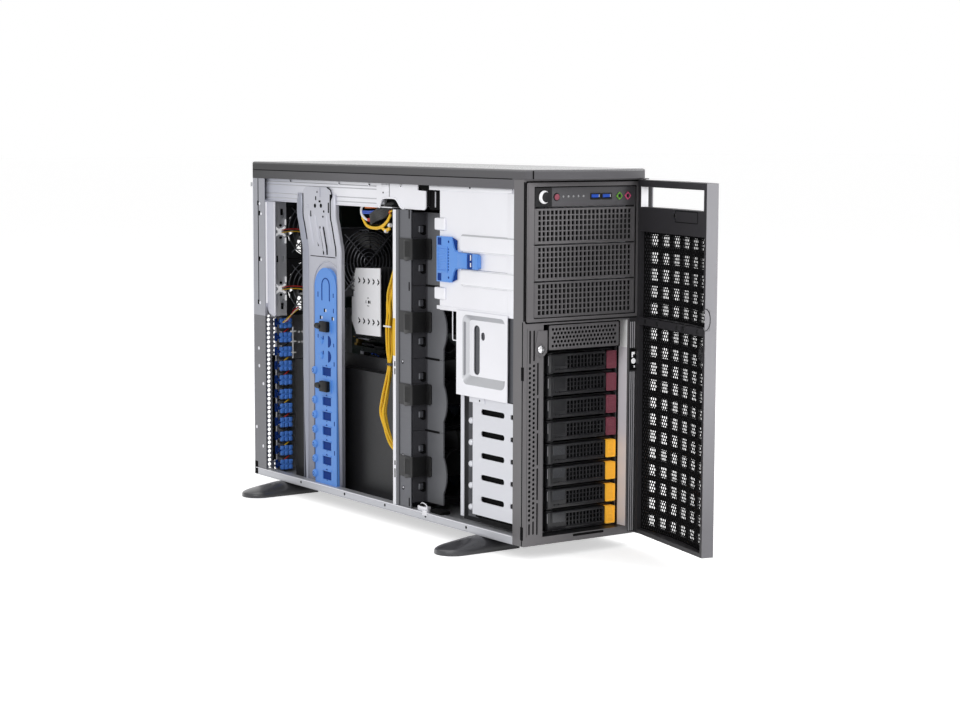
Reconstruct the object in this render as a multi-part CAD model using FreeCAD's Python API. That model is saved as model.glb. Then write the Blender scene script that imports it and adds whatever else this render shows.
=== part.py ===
import FreeCAD, Part
import math
import os

V = FreeCAD.Vector
along_x = V(1, 0, 0)
along_y = V(0, 1, 0)
along_z = V(0, 0, 1)

# Case. Front faces -Y, the open service side faces -X, the floor is at z = 0.
body_height = 462.0
foot_height = 17.0
sheet = 1.2
running_gap = 0.3
band_height = 11.5
rail_height = 10.0
rail_width = 12.0
post_depth = 33.0
post_step = 3.0
post_flange = 25.0
board_stand = 13.8
standoff_radius = 3.5

# Top cap and feet
cap_height = 11.5
cap_wall = 2.5
cap_bow = 22.0
cap_overhang = 3.0
cap_edge_round = 2.5
foot_reach = 61.0
foot_radius = 23.0
foot_bevel = 9.0
foot_tuck = 45.0
front_foot_inset = 90.0
rear_foot_inset = 78.0

# Front bezel
bezel_depth = 20.6
bezel_skin = 3.0
vent_recess = 1.5
vent_margin = 1.6
seam_inset = 1.4
seam_width = 2.0
seam_depth = 0.8
seam_end = 4.0
groove_depth = 1.2
groove_width = 2.2
groove_count = 3
lock_post_radius = 5.0
lock_post_inset = 25.0
lock_boss_radius = 8.0
lock_boss_rise = 0.8

# Control panel and 5.25 inch bays
bay_width = 152.0
bay_margin_left = 15.0
bay_margin_right = 11.0
bay_frame = 10.0
bay_count = 3
bay_pitch = 43.3
bay_recess = 4.0
bay_cover_depth = 10.0
cover_wall = 2.0
cover_slot_rows = 6
cover_slot_columns = 2
cover_slot_height = 2.8
panel_height = 23.0
panel_drop = 9.5
panel_recess = 3.0
panel_wall = 3.0
panel_box_depth = 6.0
panel_box_inset = 10.0
power_radius = 8.0
power_inset = 15.0
power_travel = 1.5
reset_radius = 3.5
reset_inset = 34.0
reset_travel = 1.0
button_rise = 1.2
button_depth = 3.0
button_stem = 6.0
usb_width = 13.6
usb_height = 6.2
usb_depth = 9.0
usb_inset = 60.0
usb_pitch = 17.0
audio_radius = 3.4
audio_bore = 1.8
audio_inset = 24.0
audio_pitch = 13.0

# Hot-swap drive trays
tray_gap = 1.8
tray_height = 25.5
tray_inset = 78.0
tray_recess = 15.0
tray_base_rise = 10.0
tray_plate = 3.0
tray_rail_height = 20.0
tray_rail = 2.0
tray_rail_gap = 0.2
tray_tail = 2.0
drive_width = 101.6
drive_length = 146.0
drive_height = 20.0
lever_thickness = 9.0
lever_pivot_inset = 5.0
lever_lug = 1.2
lever_slot_rows = 2
lever_slot_columns = 2
lever_rim = 4.0
pivot_pin_radius = 1.5
pivot_clearance = 0.15
tab_width = 16.2
tab_rise = 1.0
tab_depth = 7.0
tab_stem_width = 6.0
tab_travel = 2.0
ledge_width = 2.2
slim_height = 27.0
slim_gap = 7.0
slim_recess = 7.0
slim_slot_rows = 3

# Drive cages
cage_inset = 6.0
upper_cage_shortfall = 3.0
cage_rib_rise = 2.0
cage_rib_height = 20.0
cage_rib_length = 110.0
cage_back_gap = 11.6
cage_gap = 8.5
lower_plate_depth = 116.0
lower_slot_length = 49.0
lower_slot_height = 10.0
lower_slot_count = 5
lower_slot_pitch = 26.2
plate_depth = 107.0
plate_height = 104.0
plate_inset = 31.0
plate_thickness = 1.5
emboss_margin = 14.0
emboss_width = 5.0
latch_thickness = 4.5
latch_gap = 0.2
latch_head_length = 39.0
latch_head_height = 56.0
latch_stem_length = 59.0
latch_stem_height = 19.0
latch_height = 61.0
latch_travel = 6.0

# Fan wall
fan_size = 92.0
fan_spacing = 0.5
fan_inset = 72.0
fan_first_height = 62.0
fan_depth = 38.0
fan_bore_gap = 1.6
fan_wall_sheet = 1.5
fan_wall_setback = 365.0
fan_flange_depth = 49.0
fan_bar_depth = 12.0
fan_shroud_depth = 40.0
fan_shroud_wall = 2.0
fan_lobe_reach = 7.0
fan_lobe_height = 46.0
fan_tab_height = 27.0
fan_tab_thickness = 2.0
hub_share = 0.42
blade_count = 5
blade_thickness = 1.8
blade_pitch_angle = 36.0
rotor_end_gap = 0.4
strut_width = 4.0
strut_depth = 3.0

# Rear panel: power supplies, rear fans, expansion slots
psu_count = 2
psu_front_gap = 18.0
psu_height = 39.5
psu_setback = 5.2
psu_cage_gap = 11.0
psu_gap = 0.6
psu_handle_reach = 26.0
psu_handle_bar = 6.0
psu_proud = 2.0
psu_inlet_width = 27.0
psu_inlet_height = 20.0
psu_inlet_depth = 14.0
distributor_length = 84.0
distributor_height = 34.0
distributor_width = 120.0
distributor_notch = 18.0
rear_fan_size = 80.0
rear_fan_depth = 25.0
rear_fan_inset = 79.0
rear_fan_spacing = 1.0
rear_fan_gap = 2.5
carrier_width = 17.0
slot_pitch = 20.32
slot_first_rise = 11.5
slot_length = 114.0
slot_height = 15.0
slot_inset = 41.0
slot_cover_overlap = 1.5
slot_cover_thickness = 1.0
slot_tab_length = 8.0
clip_pivot_offset = 11.0
clip_pivot_setback = 10.0
clip_rod_radius = 1.2
clip_clearance = 0.2
clip_width = 16.0
clip_barrel = 3.6
clip_reach = 15.0
clip_lug = 3.0
vent_column_inset = 22.0
vent_column_width = 10.0
io_width = 40.0
io_height = 154.0
io_depth = 38.0

# Expansion card support
bar_width = 96.0
bar_setback = 120.0
bar_sheet = 1.5
bar_flange = 12.0
bar_step = 8.5
bar_head_rise = 22.3
bar_head_drop = 19.7
bar_slope = 36.0
retainer_width = 64.0
retainer_setback = 153.0
retainer_thickness = 5.0
retainer_rise = 8.8
retainer_drop = 29.0
pocket_width = 16.0
pocket_height = 13.0
pocket_rise = 9.8
plunger_spacing = 4
plunger_head = 7.0
plunger_stem = 14.0
plunger_nozzle_radius = 3.5
plunger_nozzle = 11.0
plunger_travel = 8.0
guide_setback = 60.0
guide_inset = 33.0
guide_height = 168.0
guide_wall = 2.0

# Boards and coolers
board_thickness = 2.0
board_front_gap = 29.0
board_edge = 4.0
memory_length = 133.0
memory_height = 30.0
memory_thickness = 4.0
memory_pitch = 9.0
memory_count = 3
memory_setback = 150.0
connector_length = 89.0
connector_height = 12.0
connector_width = 7.0
connector_setback = 25.0
socket_height = 17.0
cooler_depth = 83.0
cooler_height = 105.0
cooler_setback = 209.0
cooler_gap = 37.8
cooler_rise = 117.0
cooler_fins = 7
cooler_fin_thickness = 1.2
cooler_core_width = 30.0
guard_fan_depth = 25.0
guard_fan_setback = 175.0
guard_fan_drop = 78.7
guard_fan_gap = 0.8
guard_ring_width = 1.6
guard_ring_count = 2
guard_sink_depth = 62.0
guard_sink_margin = 5.0
backplane_thickness = 2.4
backplane_plug_width = 40.0
backplane_plug_height = 8.0

# Door
door_rest_angle = 77.0
door_gap = 1.5
door_edge = 16.5
door_bow = 9.0
door_skin = 2.5
lattice_setback = 8.0
door_rim = 5.0
door_end_gap = 2.0
door_side_gap = 0.5
door_hinge_inset = 5.5
door_hinge_offset = 9.0
door_corner_round = 5.0
door_pin_radius = 2.0
door_pin_length = 8.0
door_arm = 1.4
lattice_columns = 6
lattice_gap = 8.0
lattice_pitch_x = 25.0
lattice_pitch_z = 20.6
lattice_open_x = 16.0
lattice_open_z = 14.0
lattice_side = 8.0
mid_bar = 10.0
window_height = 24.0
window_drop = 8.0
window_block = 20.0
mesh_thickness = 0.8
notch_radius = 14.0
notch_rise = 43.0
lock_rise = 5.0
lock_inset = 13.0
lock_radius = 4.0
lock_boss_wall = 3.0
cam_length = 15.0
cam_width = 7.0
cam_thickness = 2.5

# Cable looms
loom_radius = 4.5
lead_radius = 3.0
lead_end = 128.0
fan_lead_radius = 1.5
slant_share = 0.34
switch_length = 20.0
switch_setback = 437.0

# Places worked out from the sizes above
tray_pitch = tray_height + tray_gap
tray_width = drive_width + 2 * (tray_rail + tray_rail_gap)
tray_length = drive_length + tray_tail
lever_clearance = 0.4
lower_cage_depth = tray_recess + lever_thickness + lever_clearance + tray_plate + tray_length + cage_back_gap
upper_cage_depth = lower_cage_depth - upper_cage_shortfall
body_width = bay_margin_left + bay_width + bay_margin_right
body_depth = (lower_cage_depth + cage_gap + fan_lobe_reach + fan_shroud_depth + fan_depth + fan_wall_sheet
              + fan_wall_setback)
half = body_width / 2
tray_offset = half - tray_inset
fan_offset = -half + fan_inset
rear_fan_offset = -half + rear_fan_inset
slot_left = -half + slot_inset
vent_column_left = -half + vent_column_inset
swing_angle = math.radians(door_rest_angle)
door_width = body_width - door_hinge_inset - door_side_gap
door_reach = (door_hinge_offset + door_width * math.sin(swing_angle)
              + (door_edge - door_hinge_offset) * math.cos(swing_angle))
rear = (body_depth + door_reach - psu_handle_reach) / 2
front = rear - body_depth
left_inner = -half + sheet
right_inner = half - sheet
case_bottom = foot_height
case_top = body_height - cap_height
floor_top = case_bottom + sheet
roof_bottom = case_top - sheet
rail_top = case_bottom + rail_height
wall_front = front + bezel_depth
wall_back = wall_front + sheet
board_face = right_inner - board_stand - board_thickness
panel_top = case_top - panel_drop
panel_base = panel_top - panel_height
bay_base = panel_base - bay_count * bay_pitch
bay_left = -half + bay_margin_left
bay_right = half - bay_margin_right
tray_left = tray_offset - tray_width / 2
tray_right = tray_offset + tray_width / 2
tray_face = front + tray_recess
tray_base = case_bottom + tray_base_rise
tray_plate_front = tray_face + lever_thickness + lever_clearance
tray_plate_back = tray_plate_front + tray_plate
tray_room = bay_base - bay_frame - slim_height - slim_gap - tray_base
tray_count = int((tray_room - tray_height) / tray_pitch) + 1
tray_top = tray_base + (tray_count - 1) * tray_pitch + tray_height
recess_left = tray_left - 18.0
recess_right = tray_right + 3.0
recess_bottom = tray_base - 0.6
recess_top = tray_top + 2.4
slim_base = tray_top + slim_gap
slim_left = tray_left - 7.0
slim_right = slim_left + tray_width
cage_side = -half + cage_inset
cage_rear = front + lower_cage_depth
fan_plate_front = rear - fan_wall_setback - fan_wall_sheet
fan_face = fan_plate_front - fan_depth
fan_side = fan_offset - fan_size / 2 - fan_shroud_wall
psu_floor = roof_bottom - psu_height - psu_gap - sheet - running_gap
psu_left = -half + psu_setback
psu_span = right_inner - psu_left - 2 * sheet
psu_width = psu_span / psu_count - 2 * psu_gap
rear_inner = rear - sheet
psu_cage_length = fan_wall_setback - psu_cage_gap
psu_length = psu_cage_length - psu_front_gap
fan_pitch = fan_size + fan_spacing
fan_first = floor_top + fan_first_height
fan_count = int((psu_floor - fan_first - fan_size / 2) / fan_pitch) + 1
rear_fan_pitch = rear_fan_size + rear_fan_spacing
rear_fan_top = psu_floor - rear_fan_gap - rear_fan_size / 2
rear_fan_base = rear_fan_top - rear_fan_pitch - rear_fan_size / 2
slot_first = floor_top + slot_first_rise
slot_count = int((rear_fan_base - slot_height / 2 - slot_cover_overlap - slot_first) / slot_pitch) + 1
plunger_pockets = (slot_count - 1 - plunger_spacing, slot_count - 1)
pocket_first = slot_first + pocket_rise
board_length = fan_wall_setback - board_front_gap
clip_x = slot_left - clip_pivot_offset
clip_y = rear - clip_pivot_setback
bar_face = psu_left + bar_step - bar_sheet
bar_top = psu_floor + bar_head_rise
bar_step_high = psu_floor - bar_head_drop
bar_step_low = bar_step_high - bar_slope
retainer_bottom = floor_top + retainer_rise
retainer_top = bar_step_low - retainer_drop
guide_top = floor_top + guide_height
cooler_base = guide_top + cooler_gap
guard_fan_height = psu_floor - guard_fan_drop
guard_fan_x = bar_face + bar_flange + guard_fan_gap + fan_size / 2 - guard_sink_margin
lock_height = recess_top + lock_rise
notch_height = lock_height + notch_rise
hinge_x = half - door_hinge_inset
hinge_y = front - door_hinge_offset
door_left = -half + door_side_gap
door_right = half - door_side_gap
door_inner = front - door_gap
door_outer = front - door_edge
door_bottom = case_bottom + door_end_gap
door_top = case_top - door_end_gap
lattice_left = -lattice_columns * lattice_pitch_x / 2 - 3.0
lattice_base = door_bottom + lattice_side
window_top = door_top - window_drop
window_base = window_top - window_height
lattice_lower_rows = int((bay_base - lattice_gap - lattice_base) / lattice_pitch_z)
mid_bar_base = lattice_base + lattice_lower_rows * lattice_pitch_z
upper_base = mid_bar_base + mid_bar
lattice_upper_rows = int((window_base - window_block - upper_base) / lattice_pitch_z)
upper_top = upper_base + lattice_upper_rows * lattice_pitch_z


def block(x, y, z):
    return Part.makeBox(x[1] - x[0], y[1] - y[0], z[1] - z[0], V(x[0], y[0], z[0]))


def span(centre, width):
    return (centre - width / 2, centre + width / 2)


def rod(radius, start, axis, length):
    return Part.makeCylinder(radius, length, start, axis)


def joined(pieces):
    return pieces[0].multiFuse(pieces[1:]).removeSplitter()


def carved(body, tools):
    return body.cut(tools)


def prism(points, travel):
    return Part.Face(Part.makePolygon(points + points[:1])).extrude(travel)


def solids_of(shape):
    return list(shape.Solids)


def keep(name, shapes):
    shape = Part.makeCompound([solid for item in shapes for solid in solids_of(item)])
    shape.exportStep("parts/" + name + ".step")


def slot_grid(x, z, columns, rows, slot_width, slot_height, y):
    # A field of rectangular slots spread evenly over an area of a front-facing plate
    step_x = (x[1] - x[0]) / columns
    step_z = (z[1] - z[0]) / rows
    slots = []
    for column in range(columns):
        for row in range(rows):
            middle_x = x[0] + (column + 0.5) * step_x
            middle_z = z[0] + (row + 0.5) * step_z
            slots.append(block(span(middle_x, slot_width), y, span(middle_z, slot_height)))
    return slots


def make_case_shell():
    # Floor, far side and roof folded from one sheet, with the board's standoffs
    depth = (wall_front, rear)
    pieces = [
        block((-half, half), depth, (case_bottom, floor_top)),
        block((right_inner, half), depth, (case_bottom, case_top)),
        block((-half, half), depth, (roof_bottom, case_top)),
    ]
    for y in (rear - board_edge - 12, rear - board_length + 8):
        for z in (floor_top + 20, psu_floor - 16):
            pieces.append(rod(standoff_radius, V(right_inner - board_stand, y, z), along_x, board_stand))
    return joined(pieces)


def make_side_frame():
    # Bottom rail, rear post and top band around the open side
    inside = (wall_front, rear_inner)
    upright = (floor_top, roof_bottom)
    post_front = rear - post_depth
    step_in = -half + post_step
    return joined([
        block((-half, left_inner), (wall_front, rear), (case_top - band_height, roof_bottom)),
        block((-half, left_inner), inside, (floor_top, rail_top)),
        block((-half, -half + rail_width), inside, (rail_top - sheet, rail_top)),
        block(span(-half + rail_width - sheet / 2, sheet), inside, (floor_top, rail_top)),
        block((-half, left_inner), (post_front, rear), upright),
        block((-half, step_in + sheet), (post_front, post_front + sheet), upright),
        block((step_in, step_in + sheet), (post_front - post_flange, post_front + sheet), upright),
    ])


def make_front_frame():
    # Plate behind the bezel, with the bay and tray windows and room for the rail and band
    depth = (wall_front, wall_back)
    plate = block((left_inner, right_inner), depth, (floor_top, roof_bottom))
    return carved(plate, [
        block((bay_left - 1, bay_right + 1), depth, (bay_base - 1, panel_top + 1)),
        block((recess_left, recess_right), depth, (recess_bottom, bay_base - 5)),
        block((left_inner, -half + rail_width), depth, (floor_top, rail_top)),
    ])


def make_rear_panel():
    panel = block((left_inner, right_inner), (rear_inner, rear), (floor_top, roof_bottom))
    panel = carved(panel, [block((-half, -half + rail_width), (rear_inner, rear), (floor_top, rail_top))])
    through = (rear_inner, rear)
    cuts = [block((psu_left + sheet, right_inner), through, (psu_floor + sheet, roof_bottom))]
    for z in rear_fan_heights():
        cuts.append(rod(rear_fan_size / 2 - 2, V(rear_fan_offset, rear_inner, z), along_y, sheet))
    cuts.append(block(io_span(), through, span(io_middle(), io_height - 6)))
    for index in range(slot_count):
        z = slot_first + index * slot_pitch
        cuts.append(block((slot_left, slot_left + slot_length), through, span(z, slot_height)))
        vent_x = (vent_column_left, vent_column_left + vent_column_width)
        cuts.append(block(vent_x, through, span(z, slot_height - 2)))
    panel = carved(panel, cuts)
    # Pivot rod of the slot clips, on lugs above and below the clip row
    low = floor_top
    high = slot_first + (slot_count - 1) * slot_pitch + clip_width / 2 + running_gap
    lug_x = span(clip_x, 2 * clip_barrel)
    lugs = [block(lug_x, (clip_y - clip_barrel, rear_inner), (z, z + clip_lug)) for z in (low, high)]
    pivot = rod(clip_rod_radius, V(clip_x, clip_y, low), along_z, high + clip_lug - low)
    return joined([panel, pivot] + lugs)


def make_intrusion_switch():
    y = rear - switch_setback
    body = block((left_inner + 2, left_inner + 9), (y, y + switch_length), (rail_top, rail_top + 6))
    button = block((left_inner + 3.5, left_inner + 7.5), (y + 4, y + 9), (rail_top + 6, rail_top + 8.5))
    return joined([body, button])


def make_top_cap():
    back_y = rear
    front_y = front - cap_overhang
    corners = [V(-half, front_y, case_top), V(-half, back_y, case_top), V(half, back_y, case_top),
               V(half, front_y, case_top)]
    bow = V(0, front_y - cap_bow, case_top)
    edges = [Part.LineSegment(corners[i], corners[i + 1]).toShape() for i in range(3)]
    edges.append(Part.Arc(corners[3], bow, corners[0]).toShape())
    slab = Part.Face(Part.Wire(edges)).extrude(V(0, 0, cap_height))
    rim = [edge for edge in slab.Edges
           if edge.BoundBox.ZMin > body_height - 0.01]
    slab = slab.makeFillet(cap_edge_round, rim)
    bays = 3
    step = (back_y - front_y - cap_wall) / bays
    hollows = []
    for index in range(bays):
        y = front_y + cap_wall + index * step
        hollows.append(block((-half + cap_wall, half - cap_wall), (y, y + step - cap_wall),
                             (case_top, body_height - cap_wall)))
    return carved(slab, hollows)


def make_foot(side, y):
    tip = side * (half + foot_reach - foot_radius)
    root = side * (half - foot_tuck)
    points = [V(root, y - foot_radius, 0), V(tip, y - foot_radius, 0),
              V(tip + side * foot_radius, y, 0), V(tip, y + foot_radius, 0), V(root, y + foot_radius, 0)]
    edges = [Part.LineSegment(points[0], points[1]).toShape(),
             Part.Arc(points[1], points[2], points[3]).toShape(),
             Part.LineSegment(points[3], points[4]).toShape(),
             Part.LineSegment(points[4], points[0]).toShape()]
    body = Part.Face(Part.Wire(edges)).extrude(V(0, 0, foot_height))
    upper = [edge for edge in body.Edges
             if edge.BoundBox.ZMin > foot_height - 0.01 and abs(edge.BoundBox.Center.x) > abs(root) + 0.1]
    return body.makeChamfer(foot_bevel, upper)


def make_front_bezel():
    depth = (front, wall_front)
    shell = block((-half, half), depth, (case_bottom, case_top))
    behind = (front + bezel_skin, wall_front)
    cuts = [
        block((bay_left - running_gap, bay_right + running_gap), depth,
              (bay_base - running_gap, panel_top + running_gap)),
        block((slim_left - running_gap, slim_right + running_gap), depth,
              (slim_base - running_gap, slim_base + slim_height + running_gap)),
        block((recess_left, recess_right), depth, (recess_bottom, recess_top)),
        block((-half + bezel_skin, recess_left - bezel_skin), behind, (recess_bottom, bay_base - 8)),
        block((recess_right + bezel_skin, half - bezel_skin), behind, (recess_bottom, bay_base - 8)),
        block((bay_right + bezel_skin, half - bezel_skin), behind, (bay_base, panel_top)),
        block((-half + bezel_skin, bay_left - bezel_skin), behind, (bay_base, panel_top)),
    ]
    strip = (-half + bezel_skin + 2, recess_left - bezel_skin - 2)
    strip_z = (recess_bottom + vent_margin, slim_base + slim_height - vent_margin)
    cuts.append(block(strip, (front, front + vent_recess), strip_z))
    seam = (front + seam_inset, front + seam_inset + seam_width)
    cuts.append(block((-half, -half + seam_depth), seam, (case_bottom, bay_base - seam_end)))
    ridge_left = recess_right + bezel_skin + 3
    ridge_step = (half - bezel_skin - ridge_left) / groove_count
    for index in range(groove_count):
        x = ridge_left + index * ridge_step
        cuts.append(block((x, x + groove_width), (front, front + groove_depth),
                          (recess_bottom, bay_base - 8)))
    shell = carved(shell, cuts)
    boss_start = V(lock_post_x(), front - lock_boss_rise, lock_height)
    boss = rod(lock_boss_radius, boss_start, along_y, bezel_skin + lock_boss_rise)
    socket = rod(lock_post_radius + running_gap, boss_start, along_y, bezel_skin + lock_boss_rise - 1)
    arm_y = (hinge_y - 2 * door_pin_radius, front + bezel_skin)
    arm_x = span(hinge_x, 4 * door_pin_radius)
    bottom_arm = block(arm_x, arm_y, (case_bottom, case_bottom + door_arm))
    top_arm = block(arm_x, arm_y, (case_top - door_arm, case_top))
    pin_low = rod(door_pin_radius, V(hinge_x, hinge_y, case_bottom), along_z, door_end_gap + door_pin_length)
    pin_high = rod(door_pin_radius, V(hinge_x, hinge_y, door_top - door_pin_length), along_z,
                   door_end_gap + door_pin_length)
    return carved(joined([shell, boss, bottom_arm, top_arm, pin_low, pin_high]), [socket])


def lock_post_x():
    return -half + lock_post_inset


def make_lock_post():
    start = V(lock_post_x(), front - lock_boss_rise, lock_height)
    post = rod(lock_post_radius, start, along_y, bezel_skin + lock_boss_rise - 1)
    rim = [edge for edge in post.Edges if edge.BoundBox.YMax < start.y + 0.01]
    return post.makeFillet(1.0, rim)


def panel_z():
    return (panel_base + panel_top) / 2


def make_control_panel():
    z = panel_z()
    face = front + panel_recess
    back = face + panel_wall
    plate = block((bay_left, bay_right), (face, back), (panel_base + running_gap, panel_top))
    walls_back = face + panel_wall + panel_box_inset + panel_box_depth
    box = block((bay_left + cover_wall, bay_right - cover_wall), (back + panel_box_inset, walls_back),
                (panel_base + cover_wall, panel_top - cover_wall))
    side_z = (panel_base + running_gap, panel_top)
    sides = [block((bay_left, bay_left + cover_wall), (face, walls_back), side_z),
             block((bay_right - cover_wall, bay_right), (face, walls_back), side_z)]
    cuts = [rod(power_radius + running_gap, V(bay_left + power_inset, face, z), along_y, panel_wall),
            rod(reset_radius + running_gap, V(bay_left + reset_inset, face, z), along_y, panel_wall)]
    for index in range(2):
        cuts.append(block(span(usb_x(index), usb_width), (face, back), span(z, usb_height)))
        cuts.append(rod(audio_radius + 0.2, V(audio_x(index), face, z), along_y, panel_wall))
    return carved(joined([plate, box] + sides), cuts)


def usb_x(index):
    return bay_right - usb_inset + index * usb_pitch


def audio_x(index):
    return bay_right - audio_inset + index * audio_pitch


def make_front_ports():
    z = panel_z()
    face = front + panel_recess
    ports = []
    for index in range(2):
        shell = block(span(usb_x(index), usb_width), (face, face + usb_depth), span(z, usb_height))
        mouth = block(span(usb_x(index), usb_width - 1.2), (face, face + usb_depth - 1),
                      span(z, usb_height - 1.2))
        ports.append(carved(shell, [mouth]))
        ring = rod(audio_radius, V(audio_x(index), face - 0.6, z), along_y, usb_depth)
        bore = rod(audio_bore, V(audio_x(index), face - 0.6, z), along_y, usb_depth - 2)
        ports.append(carved(ring, [bore]))
    return ports


def make_button(radius, inset):
    z = panel_z()
    start = V(bay_left + inset, front + panel_recess - button_rise, z)
    cap = rod(radius, start, along_y, button_depth)
    stem = rod(radius / 2, start, along_y, button_depth + button_stem)
    return joined([cap, stem])


def make_cover(x, z, recess, columns, rows):
    # A shallow tray-shaped cover with slots through its face
    face = front + recess
    body = block(x, (face, face + bay_cover_depth), z)
    hollow = block((x[0] + cover_wall, x[1] - cover_wall), (face + cover_wall, face + bay_cover_depth),
                   (z[0] + cover_wall, z[1] - cover_wall))
    field_x = (x[0] + 5, x[1] - 5)
    field_z = (z[0] + 3, z[1] - 3)
    slot_width = (field_x[1] - field_x[0]) / columns - 3
    slots = slot_grid(field_x, field_z, columns, rows, slot_width, cover_slot_height,
                      (face, face + cover_wall))
    return carved(body, [hollow] + slots)


def make_bay_covers():
    covers = []
    for index in range(bay_count):
        z = bay_base + index * bay_pitch
        covers.append(make_cover((bay_left, bay_right), (z, z + bay_pitch - running_gap), bay_recess,
                                 cover_slot_columns, cover_slot_rows))
    covers.append(make_cover((slim_left, slim_right), (slim_base, slim_base + slim_height), slim_recess,
                             cover_slot_columns, slim_slot_rows))
    return covers


def tray_bottom(index):
    return tray_base + (tray_count - 1 - index) * tray_pitch


def lever_pivot():
    return V(tray_left + lever_pivot_inset, tray_face + lever_thickness / 2, 0)


def tab_span():
    return (tray_right - 0.6 - tab_width, tray_right - 0.6)


def make_tray(index):
    z = tray_bottom(index)
    height = (z, z + tray_height)
    pieces = [block((tray_left, tray_right), (tray_plate_front, tray_plate_back), height)]
    for x in ((tray_left, tray_left + tray_rail), (tray_right - tray_rail, tray_right)):
        pieces.append(block(x, (tray_plate_front, tray_plate_back + tray_length), (z, z + tray_rail_height)))
    pivot = lever_pivot()
    for low in (z, z + tray_height - lever_lug):
        ear = block(span(pivot.x, lever_thickness), (pivot.y - lever_pivot_inset / 2, tray_plate_back),
                    (low, low + lever_lug))
        pieces.append(ear)
    pieces.append(rod(pivot_pin_radius, V(pivot.x, pivot.y, z), along_z, tray_height))
    stem_x = span(sum(tab_span()) / 2, tab_stem_width + 2 * running_gap)
    stem_z = span(z + tray_height / 2, tab_stem_width + 2 * running_gap)
    body = carved(joined(pieces), [block(stem_x, (tray_plate_front, tray_plate_back), stem_z)])
    drive_x = span(tray_offset, drive_width)
    drive_y = (tray_plate_back + 1, tray_plate_back + 1 + drive_length)
    drive = block(drive_x, drive_y, (z + 1.5, z + 1.5 + drive_height))
    stem_room = block(stem_x, (drive_y[0], drive_y[0] + tab_travel + 3), stem_z)
    return [body, carved(drive, [stem_room])]


def make_lever(index):
    z = tray_bottom(index)
    low = z + lever_lug + running_gap
    high = z + tray_height - lever_lug - running_gap
    pivot = lever_pivot()
    right = tab_span()[0] - 0.4
    body = block((pivot.x, right), (tray_face, tray_face + lever_thickness), (low, high))
    nose = rod(lever_thickness / 2, V(pivot.x, pivot.y, low), along_z, high - low)
    bore = rod(pivot_pin_radius + pivot_clearance, V(pivot.x, pivot.y, low), along_z, high - low)
    hollow = block((pivot.x + lever_thickness, right - cover_wall),
                   (tray_face + cover_wall, tray_face + lever_thickness),
                   (low + cover_wall, high - cover_wall))
    field_x = (pivot.x + lever_thickness + 12, right - lever_rim)
    slots = slot_grid(field_x, (low + lever_rim, high - lever_rim), lever_slot_columns, lever_slot_rows,
                      (field_x[1] - field_x[0]) / lever_slot_columns - 3, 5.0,
                      (tray_face, tray_face + cover_wall))
    return carved(joined([body, nose]), [bore, hollow] + slots)


def make_release_tab(index):
    z = tray_bottom(index)
    height = (z + 2, z + tray_height - 2)
    head = block(tab_span(), (tray_face - tab_rise, tray_face - tab_rise + tab_depth), height)
    stem = block(span(sum(tab_span()) / 2, tab_stem_width), (tray_face, tray_plate_back + 1),
                 span(z + tray_height / 2, tab_stem_width))
    return joined([head, stem])


def make_upper_cage():
    depth = (wall_back, front + upper_cage_depth)
    low = bay_base - 2 * sheet
    high = panel_top + sheet
    pieces = [
        block((cage_side, cage_side + sheet), depth, (low, high)),
        block((bay_right + 1, bay_right + 1 + sheet), depth, (low, high)),
        block((cage_side, bay_right + 1 + sheet), depth, (low, low + sheet)),
        block((cage_side, bay_right + 1 + sheet), depth, (high - sheet, high)),
    ]
    middle = latch_z()
    for side in (-1, 1):
        rib_z = span(middle + side * (latch_stem_height + cage_rib_height + 2) / 2, cage_rib_height)
        rib_y = (wall_back, wall_back + cage_rib_length)
        pieces.append(block((cage_side - cage_rib_rise, cage_side), rib_y, rib_z))
    for index in range(bay_count + 1):
        z = bay_base + index * bay_pitch
        pieces.append(block((bay_right - 4, bay_right + 1), (wall_back + 20, front + upper_cage_depth),
                            (z - sheet, z)))
    return joined(pieces)


def latch_z():
    return bay_base + latch_height


def make_cage_latch():
    x = (cage_side - latch_gap - latch_thickness, cage_side - latch_gap)
    head_rear = front + upper_cage_depth + 1
    head_front = head_rear - latch_head_length
    head = block(x, (head_front, head_rear), span(latch_z(), latch_head_height))
    head = carved(head, [block((x[0], x[0] + 1.5), (head_rear - 30, head_rear - 6),
                               span(latch_z(), latch_head_height - 22))])
    stem = block(x, (head_front - latch_stem_length, head_front), span(latch_z(), latch_stem_height))
    grips = [block((x[0], x[0] + 1.5), (head_front - latch_stem_length + 4 + 6 * step,
                                        head_front - latch_stem_length + 7 + 6 * step),
                   span(latch_z(), latch_stem_height)) for step in range(3)]
    return carved(joined([head, stem]), grips)


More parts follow.
